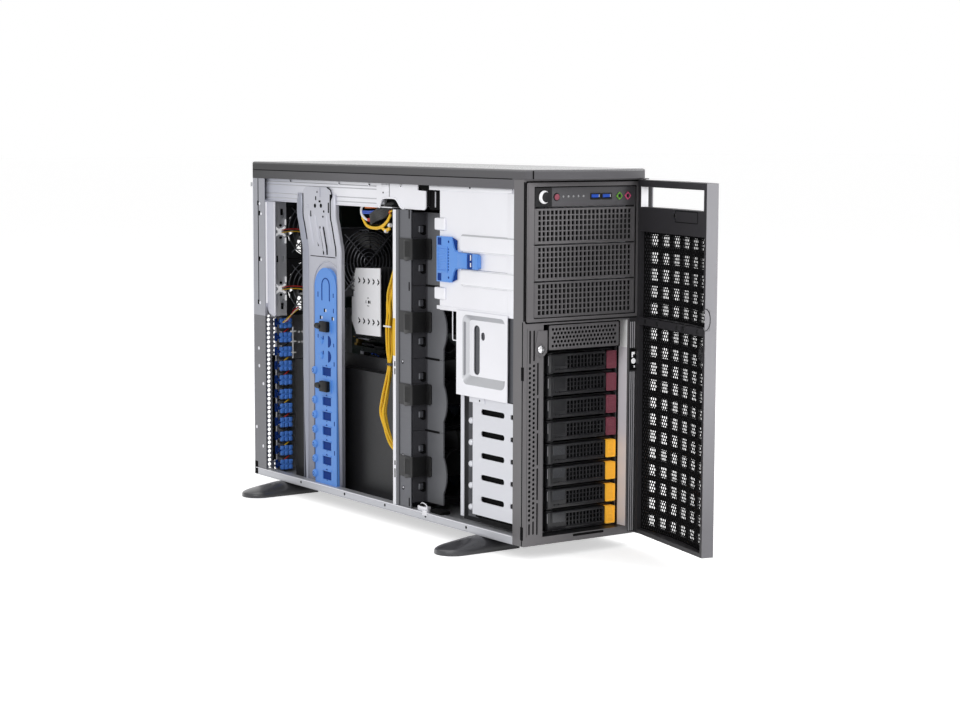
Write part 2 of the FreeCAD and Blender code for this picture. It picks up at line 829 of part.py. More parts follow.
def make_lower_cage():
    # Two ledged walls with a floor and a roof between them, and the front flanges that carry the cage
    inner = tray_left - 0.4
    outer = tray_right + 0.4
    low = tray_base - 2.6
    top = tray_top + 1.2
    depth = (wall_back, cage_rear)
    sheets = [
        block((inner, outer), depth, (low, low + sheet)),
        block((inner, outer), depth, (top, top + sheet)),
        block((outer + sheet, recess_right + 8), (wall_back, wall_back + sheet), (low, bay_base - 4)),
    ]
    for wall, ledge in (((inner - sheet, inner), (inner, inner + ledge_width)),
                        ((outer, outer + sheet), (outer - ledge_width, outer))):
        rests = [block(ledge, (tray_plate_back + 2, cage_rear), (tray_bottom(index) - 0.2 - sheet,
                                                                 tray_bottom(index) - 0.2))
                 for index in range(tray_count)]
        sheets.append(joined([block(wall, depth, (floor_top, top + sheet))] + rests))
    side = block((cage_side, cage_side + sheet), (wall_back, front + lower_plate_depth),
                 (low + 15, bay_base - 4))
    slots = [block((cage_side, cage_side + sheet), (wall_back + 20, wall_back + 20 + lower_slot_length),
                   span(low + 40 + index * lower_slot_pitch, lower_slot_height))
             for index in range(lower_slot_count)]
    flange = block((cage_side, inner - sheet), (wall_back, wall_back + sheet), (rail_top, bay_base - 4))
    sheets.append(joined([carved(side, slots), flange]))
    return sheets


def make_cage_plate():
    x = (cage_side - plate_thickness, cage_side)
    y = (front + plate_inset, front + plate_inset + plate_depth)
    z = (bay_base - plate_height, bay_base)
    plate = block(x, y, z)
    rise = (x[0] - plate_thickness, x[0])
    outer_y = (y[0] + emboss_margin, y[1] - emboss_margin)
    outer_z = (z[0] + emboss_margin, z[1] - emboss_margin)
    ring = block(rise, outer_y, outer_z)
    core = block(rise, (outer_y[0] + emboss_width, outer_y[1] - emboss_width),
                 (outer_z[0] + emboss_width, outer_z[1] - emboss_width))
    slot = block(x, (y[1] - 46, y[1] - 38), (z[0] + 32, z[1] - 22))
    hole = rod(3.5, V(x[0], y[1] - 58, z[1] - 32), along_x, plate_thickness)
    return carved(joined([plate, carved(ring, [core])]), [slot, hole])


def fan_height(index):
    return fan_first + index * fan_pitch


def make_blade(hub, tip, chord):
    # Flat blade that widens outwards, standing along Z and pitched about its own middle line
    low = hub * 0.9
    points = [V(-chord * 0.42, 0, low), V(chord * 0.42, 0, low),
              V(chord * 0.62, 0, tip), V(-chord * 0.62, 0, tip)]
    blade = prism(points, V(0, blade_thickness, 0))
    blade.translate(V(0, -blade_thickness / 2, 0))
    blade.rotate(V(0, 0, 0), along_z, blade_pitch_angle)
    return blade


def make_rotor(centre, size, length):
    # Hub with pitched blades that widen outwards, turning about Y
    tip = size / 2 - fan_bore_gap - 3.0
    hub = tip * hub_share
    body = rod(hub, V(0, -length / 2, 0), along_y, length)
    pieces = [body]
    for index in range(blade_count):
        blade = make_blade(hub, tip - 2, length * 0.9)
        blade.rotate(V(0, 0, 0), along_y, 360.0 * index / blade_count)
        pieces.append(blade)
    rotor = joined(pieces)
    rotor.translate(centre)
    return rotor


def make_fan_frame(centre, size, depth):
    # Square frame with its air bore, struts and motor plate on the downstream side
    y = (centre.y - depth / 2, centre.y + depth / 2)
    frame = block(span(centre.x, size), y, span(centre.z, size))
    bore = size / 2 - fan_bore_gap
    frame = carved(frame, [rod(bore, V(centre.x, y[0], centre.z), along_y, depth)])
    strut_y = (y[1] - strut_depth, y[1])
    hub = (bore - 1.4) * hub_share
    reach = size - fan_bore_gap
    arms = [block(span(centre.x, reach), strut_y, span(centre.z, strut_width)),
            block(span(centre.x, strut_width), strut_y, span(centre.z, reach))]
    motor = rod(hub, V(centre.x, strut_y[0], centre.z), along_y, strut_depth)
    return joined([frame, motor] + arms)


def fan_centre(index):
    return V(fan_offset, fan_plate_front - fan_depth / 2, fan_height(index))


def rotor_centre(frame_centre):
    return V(frame_centre.x, frame_centre.y - strut_depth / 2, frame_centre.z)


def rotor_length(depth):
    return depth - strut_depth - 2 * rotor_end_gap


def make_fan_module(index):
    centre = fan_centre(index)
    frame = make_fan_frame(centre, fan_size, fan_depth)
    z = span(centre.z, fan_size)
    flange_left = -half + 4.5
    strip = block((flange_left, fan_side + 2 * fan_shroud_wall), (fan_face, fan_face + 3), z)
    wall = block((fan_side, fan_side + fan_shroud_wall), (fan_face - fan_shroud_depth, fan_plate_front), z)
    lobe_y = fan_face - fan_shroud_depth
    radius = (fan_lobe_height ** 2 / 4 + fan_lobe_reach ** 2) / (2 * fan_lobe_reach)
    disc = rod(radius, V(fan_side, lobe_y + radius - fan_lobe_reach, centre.z - 8), along_x, fan_shroud_wall)
    keep_lobe = block((fan_side, fan_side + fan_shroud_wall), (lobe_y - fan_lobe_reach, lobe_y + 1), z)
    return joined([frame, strip, wall, disc.common(keep_lobe)])


def make_fan_tab(index):
    z = span(fan_height(index), fan_tab_height)
    left = -half + 2.0
    side_y = (fan_face - 2 * fan_tab_thickness, fan_face + 26)
    side = block((left - fan_tab_thickness + 0.5, left), side_y, z)
    front_leg = block((left - 0.5, fan_side), (fan_face - 2 * fan_tab_thickness, fan_face), z)
    return joined([side, front_leg])


def make_fan_wall():
    low = floor_top
    high = psu_floor - 1
    left = -half + 2.0
    plate_y = (fan_plate_front, fan_plate_front + fan_wall_sheet)
    plate = block((left, right_inner), plate_y, (low, high))
    rail_room = block((left, -half + rail_width), (plate_y[1] - fan_flange_depth, plate_y[1]),
                      (low, rail_top))
    bore = fan_size / 2 - fan_bore_gap
    holes = [rod(bore, V(fan_offset, plate_y[0], fan_height(index)), along_y, fan_wall_sheet)
             for index in range(fan_count)]
    plate = carved(plate, holes + [rail_room])
    flange = block((left, left + fan_wall_sheet), (plate_y[1] - fan_flange_depth + 10, plate_y[1]),
                   (rail_top, high))
    bar = block((left - 1.2, left), (plate_y[1] - fan_bar_depth, plate_y[1]), (rail_top, high))
    return joined([plate, flange, bar])


def rear_fan_heights():
    return (rear_fan_top, rear_fan_top - rear_fan_pitch)


def rear_fan_centre(index):
    return V(rear_fan_offset, rear_inner - rear_fan_depth / 2, rear_fan_heights()[index])


def make_rear_fan_frame(index):
    centre = rear_fan_centre(index)
    return make_fan_frame(centre, rear_fan_size, rear_fan_depth)


def make_rear_carrier():
    right = rear_fan_offset - rear_fan_size / 2 - 0.2
    low = rear_fan_heights()[1] - rear_fan_size / 2
    high = rear_fan_heights()[0] + rear_fan_size / 2
    body = block((right - carrier_width, right), (rear_inner - rear_fan_depth, rear_inner), (low, high))
    edge = [item for item in body.Edges
            if item.BoundBox.XMax < right - carrier_width + 0.01 and item.BoundBox.YMax < rear_inner - 1
            and item.BoundBox.ZLength > 1]
    body = body.makeFillet(carrier_width * 0.5, edge)
    slots = [block((right - 8, right - 4), (rear_inner - rear_fan_depth, rear_inner - rear_fan_depth + 3),
                   span(low + (high - low) * share, 8)) for share in (0.12, 0.5, 0.88)]
    return carved(body, slots)


def psu_slot(index):
    left = psu_left + sheet + index * (psu_span / psu_count + sheet)
    return (left + psu_gap, left + psu_gap + psu_width)


def make_psu_cage():
    depth = (rear - psu_cage_length, rear_inner)
    pieces = [
        block((psu_left, right_inner), depth, (psu_floor, psu_floor + sheet)),
        block((psu_left, psu_left + sheet), depth, (psu_floor, roof_bottom)),
    ]
    for index in range(1, psu_count):
        x = psu_slot(index)[0] - psu_gap - sheet
        pieces.append(block((x, x + sheet), depth, (psu_floor, roof_bottom)))
    return joined(pieces)


def make_psu(index):
    x = psu_slot(index)
    z = (psu_floor + sheet + running_gap, psu_floor + sheet + running_gap + psu_height)
    back = rear + psu_proud
    body = block(x, (back - psu_length, back), z)
    middle_z = sum(z) / 2
    inlet_x = (x[1] - 6 - psu_inlet_width, x[1] - 6)
    inlet = block(inlet_x, (back - psu_inlet_depth, back), (z[0] + 4, z[0] + 4 + psu_inlet_height))
    bar_z = span(middle_z, psu_height - 12)
    grille = [block((x[0] + 8 + 7 * step, x[0] + 12 + 7 * step), (back - 2, back), bar_z)
              for step in range(4)]
    arm_z = span(middle_z, psu_handle_bar)
    reach = rear + psu_handle_reach
    handle_x = (x[0] + 4, x[0] + 40)
    grip = block(handle_x, (reach - psu_handle_bar, reach), arm_z)
    arms = [block((side, side + psu_handle_bar), (back, reach), arm_z)
            for side in (handle_x[0], handle_x[1] - psu_handle_bar)]
    release = block((x[1] - 16, x[1] - 2), (back, back + 8), (z[1] - 9, z[1] - 6))
    pins = [block(span(inlet_x[0] + psu_inlet_width * share, 2), (back - psu_inlet_depth, back - 4),
                  span(z[0] + 4 + psu_inlet_height / 2, 5)) for share in (0.25, 0.5, 0.75)]
    return joined([carved(body, [inlet] + grille), grip, release] + arms + pins)


def make_distributor():
    y = (rear - psu_cage_length - 3 - distributor_length, rear - psu_cage_length - 3)
    side = block((psu_left, psu_left + sheet), y, (psu_floor, roof_bottom))
    notch = block((psu_left, psu_left + sheet), (y[1] - distributor_notch, y[1]),
                  (psu_floor, psu_floor + 22))
    roof = block((psu_left, psu_left + distributor_width), y, (roof_bottom - sheet, roof_bottom))
    bracket = joined([carved(side, [notch]), roof])
    box_y = (y[0] + 3, y[1] - distributor_notch)
    box_top = roof_bottom - sheet
    body = block((psu_left + sheet, psu_left + distributor_width), box_y,
                 (box_top - distributor_height, box_top))
    return [bracket, body]


def io_span():
    return (board_face - io_width, board_face)


def io_middle():
    return sum(rear_fan_heights()) / 2


def make_slot_cover(index):
    z = slot_first + index * slot_pitch
    back = rear_inner
    face = back - slot_cover_thickness
    x = (slot_left - slot_cover_overlap, slot_left + slot_length + slot_cover_overlap)
    plate = block(x, (face, back), span(z, slot_height + 2 * slot_cover_overlap))
    tab = block((x[0], x[0] + slot_cover_thickness), (face - slot_tab_length, back), span(z, slot_height))
    return joined([plate, tab])


def make_slot_clip(index):
    z = slot_first + index * slot_pitch - clip_width / 2
    reach = clip_reach
    corner = clip_barrel * 0.5
    points = [V(-clip_barrel, corner, 0), V(-corner, clip_barrel, 0), V(corner, clip_barrel, 0),
              V(clip_barrel, corner, 0), V(reach, -clip_barrel, 0),
              V(reach, -reach + 2, 0), V(reach * 0.5, -reach - 2, 0), V(-clip_barrel, -reach + 4, 0)]
    points = [V(point.x + clip_x, point.y + clip_y, z) for point in points]
    finger = prism(points, V(0, 0, clip_width))
    bore = rod(clip_rod_radius + clip_clearance, V(clip_x, clip_y, z), along_z, clip_width)
    return carved(finger, [bore])


def bar_profile(depth):
    # Side view of the bar: straight foot, slope, straight head, as thick as depth
    inner = bar_face + depth
    head = psu_left - bar_sheet
    head_inner = head + depth
    return [V(bar_face, 0, floor_top), V(bar_face, 0, bar_step_low), V(head, 0, bar_step_high),
            V(head, 0, bar_top), V(head_inner, 0, bar_top), V(head_inner, 0, bar_step_high),
            V(inner, 0, bar_step_low), V(inner, 0, floor_top)]


def bar_plate(depth, y, width):
    points = [V(point.x, y, point.z) for point in bar_profile(depth)]
    return prism(points, V(0, width, 0))


def pocket_height_at(index):
    return pocket_first + index * slot_pitch


def pocket_y():
    return rear - retainer_setback - retainer_width * 0.55


def make_card_bar():
    y = (rear - bar_setback - bar_width, rear - bar_setback)
    face = bar_plate(bar_sheet, y[0], bar_width)
    pieces = [face]
    for low in (y[0], y[1] - bar_sheet):
        flange = bar_plate(bar_flange, low, bar_sheet)
        cage_room = block((psu_left, psu_left + bar_flange), (low, low + bar_sheet), (psu_floor, bar_top))
        pieces.append(carved(flange, [cage_room]))
    windows = [block((bar_face, bar_face + bar_sheet), span(pocket_y(), pocket_width - 2),
                     span(pocket_height_at(index), pocket_height - 2)) for index in range(slot_count)]
    slot = block((psu_left - bar_sheet, bar_face + bar_sheet), span(sum(y) / 2, 7),
                 (bar_step_low, bar_step_high - 6))
    return carved(joined(pieces), windows + [slot])


def make_card_retainer():
    y = (rear - retainer_setback - retainer_width, rear - retainer_setback)
    x = (bar_face - retainer_thickness, bar_face)
    crown = retainer_top - retainer_width / 2
    body = block(x, y, (retainer_bottom, crown))
    top = rod(retainer_width / 2, V(x[0], sum(y) / 2, crown), along_x, retainer_thickness)
    knobs = [rod(5, V(x[0], y[1] - 1, pocket_height_at(index)), along_x, retainer_thickness)
             for index in range(0, plunger_pockets[0] + 2)]
    pockets = [block(x, span(pocket_y(), pocket_width), span(pocket_height_at(index), pocket_height))
               for index in range(slot_count)]
    arch = block((x[0], x[0] + 1.5), span(sum(y) / 2, 14), (crown - 36, crown + 8))
    return carved(joined([body, top] + knobs), pockets + [arch])


def make_plunger(order):
    z = pocket_height_at(plunger_pockets[order])
    y = pocket_y()
    left = bar_face - retainer_thickness - plunger_head
    stem = block((left, left + plunger_head + plunger_stem), span(y, pocket_width - 2 - 2 * running_gap),
                 span(z, pocket_height - 2 - 2 * running_gap))
    nozzle = rod(plunger_nozzle_radius, V(left + plunger_nozzle_radius - 1, y, z), along_y,
                 pocket_width / 2 + plunger_nozzle)
    limit = block((left, left + plunger_head - 0.5), (y, y + 40), span(z, 20))
    return joined([stem, nozzle.common(limit)])


def guide_x():
    return -half + guide_inset


def make_air_guide():
    y = (rear - fan_wall_setback, rear - guide_setback)
    x = guide_x()
    side = block((x, x + guide_wall), y, (floor_top, guide_top))
    shelf_front = rear - cooler_setback - cooler_depth - 6
    shelf = block((x, board_face - 20), (y[0], y[1]),
                  (guide_top - guide_wall, guide_top))
    lip = block((x + 14, x + 16), (shelf_front, y[1]),
                (guide_top, guide_top + 18))
    return joined([side, shelf, lip])


def make_motherboard():
    x = (board_face, board_face + board_thickness)
    board = block(x, (rear - board_length, rear - board_edge), (floor_top + 3, psu_floor - 4))
    pieces = [board]
    for index in range(slot_count):
        z = slot_first + index * slot_pitch
        y = (rear - connector_setback - connector_length, rear - connector_setback)
        pieces.append(block((board_face - connector_height, board_face), y, span(z, connector_width)))
    pieces.append(block((board_face - io_width + 2, board_face), (rear_inner - io_depth, rear_inner - 0.3),
                        span(io_middle(), io_height - 8)))
    return pieces


def make_memory():
    modules = []
    y = (rear - memory_setback - memory_length, rear - memory_setback)
    low = guide_top + 6
    for index in range(memory_count):
        z = low + index * memory_pitch
        modules.append(block((board_face - memory_height, board_face), y, (z, z + memory_thickness)))
    return modules


def make_backplane():
    y = (cage_rear, cage_rear + backplane_thickness)
    board = block((tray_left - 1.2, tray_right + 1.2), y, (tray_base, tray_top))
    drive_back = tray_plate_back + 1 + drive_length
    plugs = [block(span(tray_offset + 14, backplane_plug_width), (drive_back + 0.4, cage_rear),
                   span(tray_bottom(index) + 9, backplane_plug_height)) for index in range(tray_count)]
    return [board] + plugs


def make_fin_stack(y, z, x_low, x_high, core_y):
    # Thin plates stacked along X on a solid core
    step = (x_high - x_low - cooler_fin_thickness) / (cooler_fins - 1)
    plates = []
    for index in range(cooler_fins):
        x = x_low + index * step
        plates.append(block((x, x + cooler_fin_thickness), y, z))
    core = block((x_low, x_high), span(sum(y) / 2, core_y), span(sum(z) / 2, core_y))
    return plates + [core]


def make_tower_cooler():
    y = (rear - cooler_setback - cooler_depth, rear - cooler_setback)
    z = (cooler_base, cooler_base + cooler_height)
    top = board_face - cooler_rise
    pieces = make_fin_stack(y, z, top, board_face - socket_height, cooler_core_width)
    pieces.append(block((board_face - socket_height, board_face), span(sum(y) / 2, 60),
                        span(sum(z) / 2, 60)))
    return joined(pieces)


def guard_fan_centre():
    return V(guard_fan_x, rear - guard_fan_setback - guard_fan_depth / 2, guard_fan_height)


def make_fan_cooler():
    centre = guard_fan_centre()
    back = centre.y + guard_fan_depth / 2
    y = (back, back + guard_sink_depth)
    z = span(centre.z, fan_size - 2 * guard_sink_margin)
    left = centre.x - fan_size / 2 + guard_sink_margin
    pieces = make_fin_stack(y, z, left, board_face - socket_height, cooler_core_width)
    pieces.append(block((board_face - socket_height, board_face), span(sum(y) / 2, 56), span(centre.z, 56)))
    return joined(pieces)


def make_wire_guard():
    centre = guard_fan_centre()
    face = centre.y - guard_fan_depth / 2
    y = (face - guard_ring_width, face)
    pieces = []
    outer = fan_size / 2 - 3
    for index in range(guard_ring_count):
        radius = outer * (index + 1) / guard_ring_count
        disc = rod(radius, V(centre.x, y[0], centre.z), along_y, guard_ring_width)
        pieces.append(carved(disc, [rod(radius - guard_ring_width, V(centre.x, y[0], centre.z), along_y,
                                        guard_ring_width)]))
    cross = [block(span(centre.x, fan_size * 1.2), y, span(centre.z, guard_ring_width)),
             block(span(centre.x, guard_ring_width), y, span(centre.z, fan_size * 1.2))]
    for bar in cross:
        bar.rotate(centre, along_y, 45)
    return joined(pieces + cross)


def tube(points, radius, bend):
    # Round cable along straight runs joined by arcs of one bend radius
    edges = []
    start = points[0]
    length = 0.0
    for before, corner, after in zip(points, points[1:], points[2:]):
        back = (before - corner).normalize()
        ahead = (after - corner).normalize()
        half_turn = (math.pi - back.getAngle(ahead)) / 2
        reach = bend * math.tan(half_turn)
        first = corner + back * reach
        last = corner + ahead * reach
        inward = (back + ahead).normalize()
        crown = corner + inward * (bend / math.cos(half_turn) - bend)
        edges.append(Part.LineSegment(start, first).toShape())
        edges.append(Part.Arc(first, crown, last).toShape())
        length += (first - start).Length + 2 * half_turn * bend
        start = last
    edges.append(Part.LineSegment(start, points[-1]).toShape())
    length += (points[-1] - start).Length
    path = Part.Wire(edges)
    section = Part.Face(Part.Wire(Part.makeCircle(radius, points[0], points[1] - points[0])))
    cable = path.makePipe(section)
    expected = math.pi * radius ** 2 * length
    print("cable volume share %.3f, length %.0f, bend %.0f" % (cable.Volume / expected, length, bend))
    return cable


def make_cables():
    drop_y = rear - psu_cage_length - 5.5
    exit_y = rear - psu_cage_length - 3 - distributor_notch
    exit_z = roof_bottom - sheet - 20
    loom_x = psu_left + 18
    loom = [V(loom_x, exit_y, exit_z), V(loom_x, drop_y, exit_z), V(loom_x, drop_y, psu_floor - 14),
            V(board_face - loom_radius * slant_share, rear - board_length + 20, psu_floor - 14)]
    cables = [tube(loom, loom_radius, 7.0)]
    lead_x = psu_left + 6
    plate_y = fan_plate_front + fan_wall_sheet
    lead = [V(lead_x, exit_y, exit_z - 8), V(lead_x, drop_y, exit_z - 8), V(lead_x, drop_y + 10, lead_end),
            V(lead_x, plate_y, lead_end)]
    cables.append(tube(lead, lead_radius, 5.5))
    for index in range(2):
        centre = rear_fan_centre(index)
        face = centre.y - rear_fan_depth / 2
        x = centre.x - rear_fan_size / 2 + 4
        lead = [V(x, face, centre.z), V(x, face - 20, centre.z),
                V(board_face - fan_lead_radius * slant_share, face - 44, centre.z - 30)]
        cables.append(tube(lead, fan_lead_radius, 5.0))
    return cables


def door_arc(offset, z):
    # Bowed line across the door, from its free edge to its hinge edge, moved inwards by offset
    middle = (door_left + door_right) / 2
    left = V(door_left, door_outer + offset, z)
    crown = V(middle, door_outer - door_bow + offset, z)
    right = V(door_right, door_outer + offset, z)
    return left, crown, right


def door_slab(offset, low, high, inner):
    left, crown, right = door_arc(offset, low)
    back_right = V(door_right, inner, low)
    back_left = V(door_left, inner, low)
    edges = [Part.Arc(left, crown, right).toShape(), Part.LineSegment(right, back_right).toShape(),
             Part.LineSegment(back_right, back_left).toShape(), Part.LineSegment(back_left, left).toShape()]
    return Part.Face(Part.Wire(edges)).extrude(V(0, 0, high - low))


def swung(shape):
    turned = shape.copy()
    turned.rotate(V(hinge_x, hinge_y, 0), along_z, door_rest_angle)
    return turned


def lattice_cells():
    # Middle of each opening in the door's lattice, as x and z
    cells = []
    for column in range(lattice_columns):
        x = lattice_left + (column + 0.5) * lattice_pitch_x
        for row in range(lattice_lower_rows):
            cells.append((x, lattice_base + (row + 0.5) * lattice_pitch_z))
        for row in range(lattice_upper_rows):
            cells.append((x, upper_base + (row + 0.5) * lattice_pitch_z))
    return cells


def lock_x():
    return door_left + lock_inset


def make_door_panel():
    slab = door_slab(0, door_bottom, door_top, door_inner)
    hinge_edges = [edge for edge in slab.Edges
                   if edge.BoundBox.XMin > door_right - 0.01 and edge.BoundBox.ZLength > 1]
    slab = slab.makeFillet(door_corner_round, hinge_edges)
    room = (door_left + door_rim, hinge_x - 2 * door_pin_radius - 1)
    through = (door_outer - door_bow - 2, door_inner)
    # The lattice stands back from the outer face, inside the frame
    frame_z = (door_bottom + door_rim, door_top - door_rim)
    lattice = door_slab(lattice_setback, *frame_z, door_inner)
    pocket = carved(door_slab(-1, *frame_z, door_inner), [lattice])
    cavities = [pocket.common(block(room, through, frame_z))]
    for low, high in ((door_bottom + door_rim, mid_bar_base), (upper_base, upper_top)):
        cavity = door_slab(lattice_setback + door_skin, low, high, door_inner)
        cavities.append(cavity.common(block(room, through, (low, high))))
    window = block((room[0] + 2, room[1] - 2), through, (window_base, window_top))
    openings = [block(span(x, lattice_open_x), through, span(z, lattice_open_z)) for x, z in lattice_cells()]
    notch = rod(notch_radius, V(door_left - notch_radius * 0.4, door_inner - 6, notch_height), along_y, 6)
    pin_room = door_pin_length + 1
    pin_bores = [rod(door_pin_radius + running_gap, V(hinge_x, hinge_y, z), along_z, pin_room)
                 for z in (door_bottom, door_top - pin_room)]
    panel = carved(slab, cavities + [window, notch] + openings + pin_bores)
    boss_back = door_inner - cam_thickness - 1.5
    boss = rod(lock_radius + lock_boss_wall, V(lock_x(), door_outer - door_bow, lock_height), along_y,
               boss_back - door_outer + door_bow)
    boss = boss.common(door_slab(0, door_bottom, door_top, door_inner))
    bore = rod(lock_radius + running_gap, V(lock_x(), through[0], lock_height), along_y, 60)
    cam_low = lock_height - cam_width / 2
    cam_room = block(span(lock_x(), cam_width + 2 * running_gap), (boss_back, door_inner),
                     (cam_low - running_gap, cam_low + cam_length + running_gap))
    return swung(carved(joined([panel, boss]), [bore, cam_room]))


def make_door_mesh():
    sheets = []
    room = (door_left + door_rim + running_gap, hinge_x - 2 * door_pin_radius - 1 - running_gap)
    inner_face = lattice_setback + door_skin + running_gap
    through = (door_outer - door_bow, door_inner)
    lock_start = V(lock_x(), through[0], lock_height)
    lock_room = rod(lock_radius + lock_boss_wall + running_gap, lock_start, along_y, 60)
    for low, high in ((door_bottom + door_rim + running_gap, mid_bar_base - running_gap),
                      (upper_base + running_gap, upper_top - running_gap)):
        outer = door_slab(inner_face, low, high, door_inner)
        inner = door_slab(inner_face + mesh_thickness, low, high, door_inner)
        sheet_piece = carved(outer, [inner]).common(block(room, through, (low, high)))
        sheets.append(swung(carved(sheet_piece, [lock_room])))
    return sheets


def make_door_lock():
    face = door_outer - 1.5
    cam_y = door_inner - cam_thickness - 1.2
    barrel = rod(lock_radius, V(lock_x(), face, lock_height), along_y, cam_y - face)
    cam = block(span(lock_x(), cam_width), (cam_y, cam_y + cam_thickness),
                (lock_height - cam_width / 2, lock_height - cam_width / 2 + cam_length))
    keyhole = block(span(lock_x(), 1.4), (face, face + 3), span(lock_height, 5))
    return swung(carved(joined([barrel, cam]), [keyhole]))


os.makedirs("parts", exist_ok=True)
keep("chassis", [make_case_shell(), make_side_frame(), make_front_frame(), make_rear_panel(),
                 make_intrusion_switch()])
keep("top_cap", [make_top_cap()])
foot_rows = (front + front_foot_inset, rear - rear_foot_inset)
keep("feet", [make_foot(side, y) for side in (-1, 1) for y in foot_rows])
keep("front_bezel", [make_front_bezel(), make_lock_post()])
keep("control_panel", [make_control_panel()] + make_front_ports())
keep("power_button", [make_button(power_radius, power_inset)])
keep("reset_button", [make_button(reset_radius, reset_inset)])
keep("bay_covers", make_bay_covers())
keep("upper_cage", [make_upper_cage()])
keep("cage_latch", [make_cage_latch()])
keep("lower_cage", make_lower_cage() + [make_cage_plate()])
keep("fan_wall", [make_fan_wall()])
frames = [make_fan_module(index) for index in range(fan_count)]
tabs = [make_fan_tab(index) for index in range(fan_count)]
rear_frames = [make_rear_fan_frame(index) for index in range(2)]
guard_frame = make_fan_frame(guard_fan_centre(), fan_size, guard_fan_depth)
keep("fan_housings", frames + tabs + rear_frames + [make_rear_carrier(), guard_frame])
for index in range(fan_count):
    keep("fan_rotor_%d" % (index + 1),
         [make_rotor(rotor_centre(fan_centre(index)), fan_size, rotor_length(fan_depth))])
for index in range(2):
    keep("rear_fan_rotor_%d" % (index + 1),
         [make_rotor(rotor_centre(rear_fan_centre(index)), rear_fan_size, rotor_length(rear_fan_depth))])
guard_rotor = make_rotor(rotor_centre(guard_fan_centre()), fan_size, rotor_length(guard_fan_depth))
keep("cooler_fan_rotor", [guard_rotor])
keep("psu_cage", [make_psu_cage()] + make_distributor())
for index in range(psu_count):
    keep("psu_module_%d" % (index + 1), [make_psu(index)])
keep("slot_covers", [make_slot_cover(index) for index in range(slot_count)])
keep("slot_clips", [make_slot_clip(index) for index in range(slot_count)])
keep("card_bar", [make_card_bar()])
keep("card_retainer", [make_card_retainer()])
for order in range(len(plunger_pockets)):
    keep("card_plunger_%d" % (order + 1), [make_plunger(order)])
keep("air_guide", [make_air_guide()])
keep("circuit_boards", make_motherboard() + make_backplane() + make_memory())
keep("cpu_coolers", [make_tower_cooler(), make_fan_cooler(), make_wire_guard()])
keep("cables", make_cables())
keep("door_panel", [make_door_panel()])
keep("door_mesh", make_door_mesh())
keep("door_lock", [make_door_lock()])
for index in range(tray_count):
    keep("drive_tray_%d" % (index + 1), make_tray(index))
    keep("tray_lever_%d" % (index + 1), [make_lever(index)])
    keep("tray_release_%d" % (index + 1), [make_release_tab(index)])
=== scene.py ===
import bmesh
import bpy
import math
from mathutils import Matrix, Vector
from mathutils.geometry import tessellate_polygon


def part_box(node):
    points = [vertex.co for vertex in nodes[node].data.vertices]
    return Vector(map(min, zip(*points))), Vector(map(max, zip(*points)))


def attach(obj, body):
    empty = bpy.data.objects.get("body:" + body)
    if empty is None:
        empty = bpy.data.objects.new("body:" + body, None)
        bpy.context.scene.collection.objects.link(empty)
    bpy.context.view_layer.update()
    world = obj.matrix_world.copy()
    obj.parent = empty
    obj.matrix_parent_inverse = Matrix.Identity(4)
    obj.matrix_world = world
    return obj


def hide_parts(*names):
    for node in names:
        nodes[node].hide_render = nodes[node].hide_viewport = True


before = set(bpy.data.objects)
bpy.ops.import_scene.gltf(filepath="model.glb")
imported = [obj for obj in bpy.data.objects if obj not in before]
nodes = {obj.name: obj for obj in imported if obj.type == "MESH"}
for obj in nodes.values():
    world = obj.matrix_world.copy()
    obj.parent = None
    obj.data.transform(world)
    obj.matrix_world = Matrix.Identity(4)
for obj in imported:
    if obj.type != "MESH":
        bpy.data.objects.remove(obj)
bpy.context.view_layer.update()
print("frame loaded:", len(nodes), "nodes")

mm = 0.001


class Sizes(dict):  # a piece's own dictionary, whose values also read as at.left
    __getattr__ = dict.__getitem__


lowCorner, highCorner = (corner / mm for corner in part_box("chassis"))
bezelDepth = 20.6
origin = Vector((0, highCorner.y, 0))  # places below are millimetres, with y from the rear panel
rear = 0.0
front = lowCorner.y - highCorner.y - bezelDepth
half = highCorner.x
caseTop = highCorner.z
caseBottom = lowCorner.z
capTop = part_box("top_cap")[1].z / mm
sheet = 1.2  # steel of the case and its cages
roofBottom = caseTop - sheet
floorTop = caseBottom + sheet
band = 11.5  # edge of the roof that turns down over the open side
slots = Sizes(count=11, first=29.7, pitch=20.32, pivot=(-59.0, -10.0))  # pivot: the clips' rod


def about(middle, reach):
    return middle - reach, middle + reach


def srgb(red, green, blue):  # 0 to 255 screen colour to linear
    def lift(level):
        level = level / 255
        return level / 12.92 if level <= 0.04045 else ((level + 0.055) / 1.055) ** 2.4
    return (lift(red), lift(green), lift(blue), 1.0)


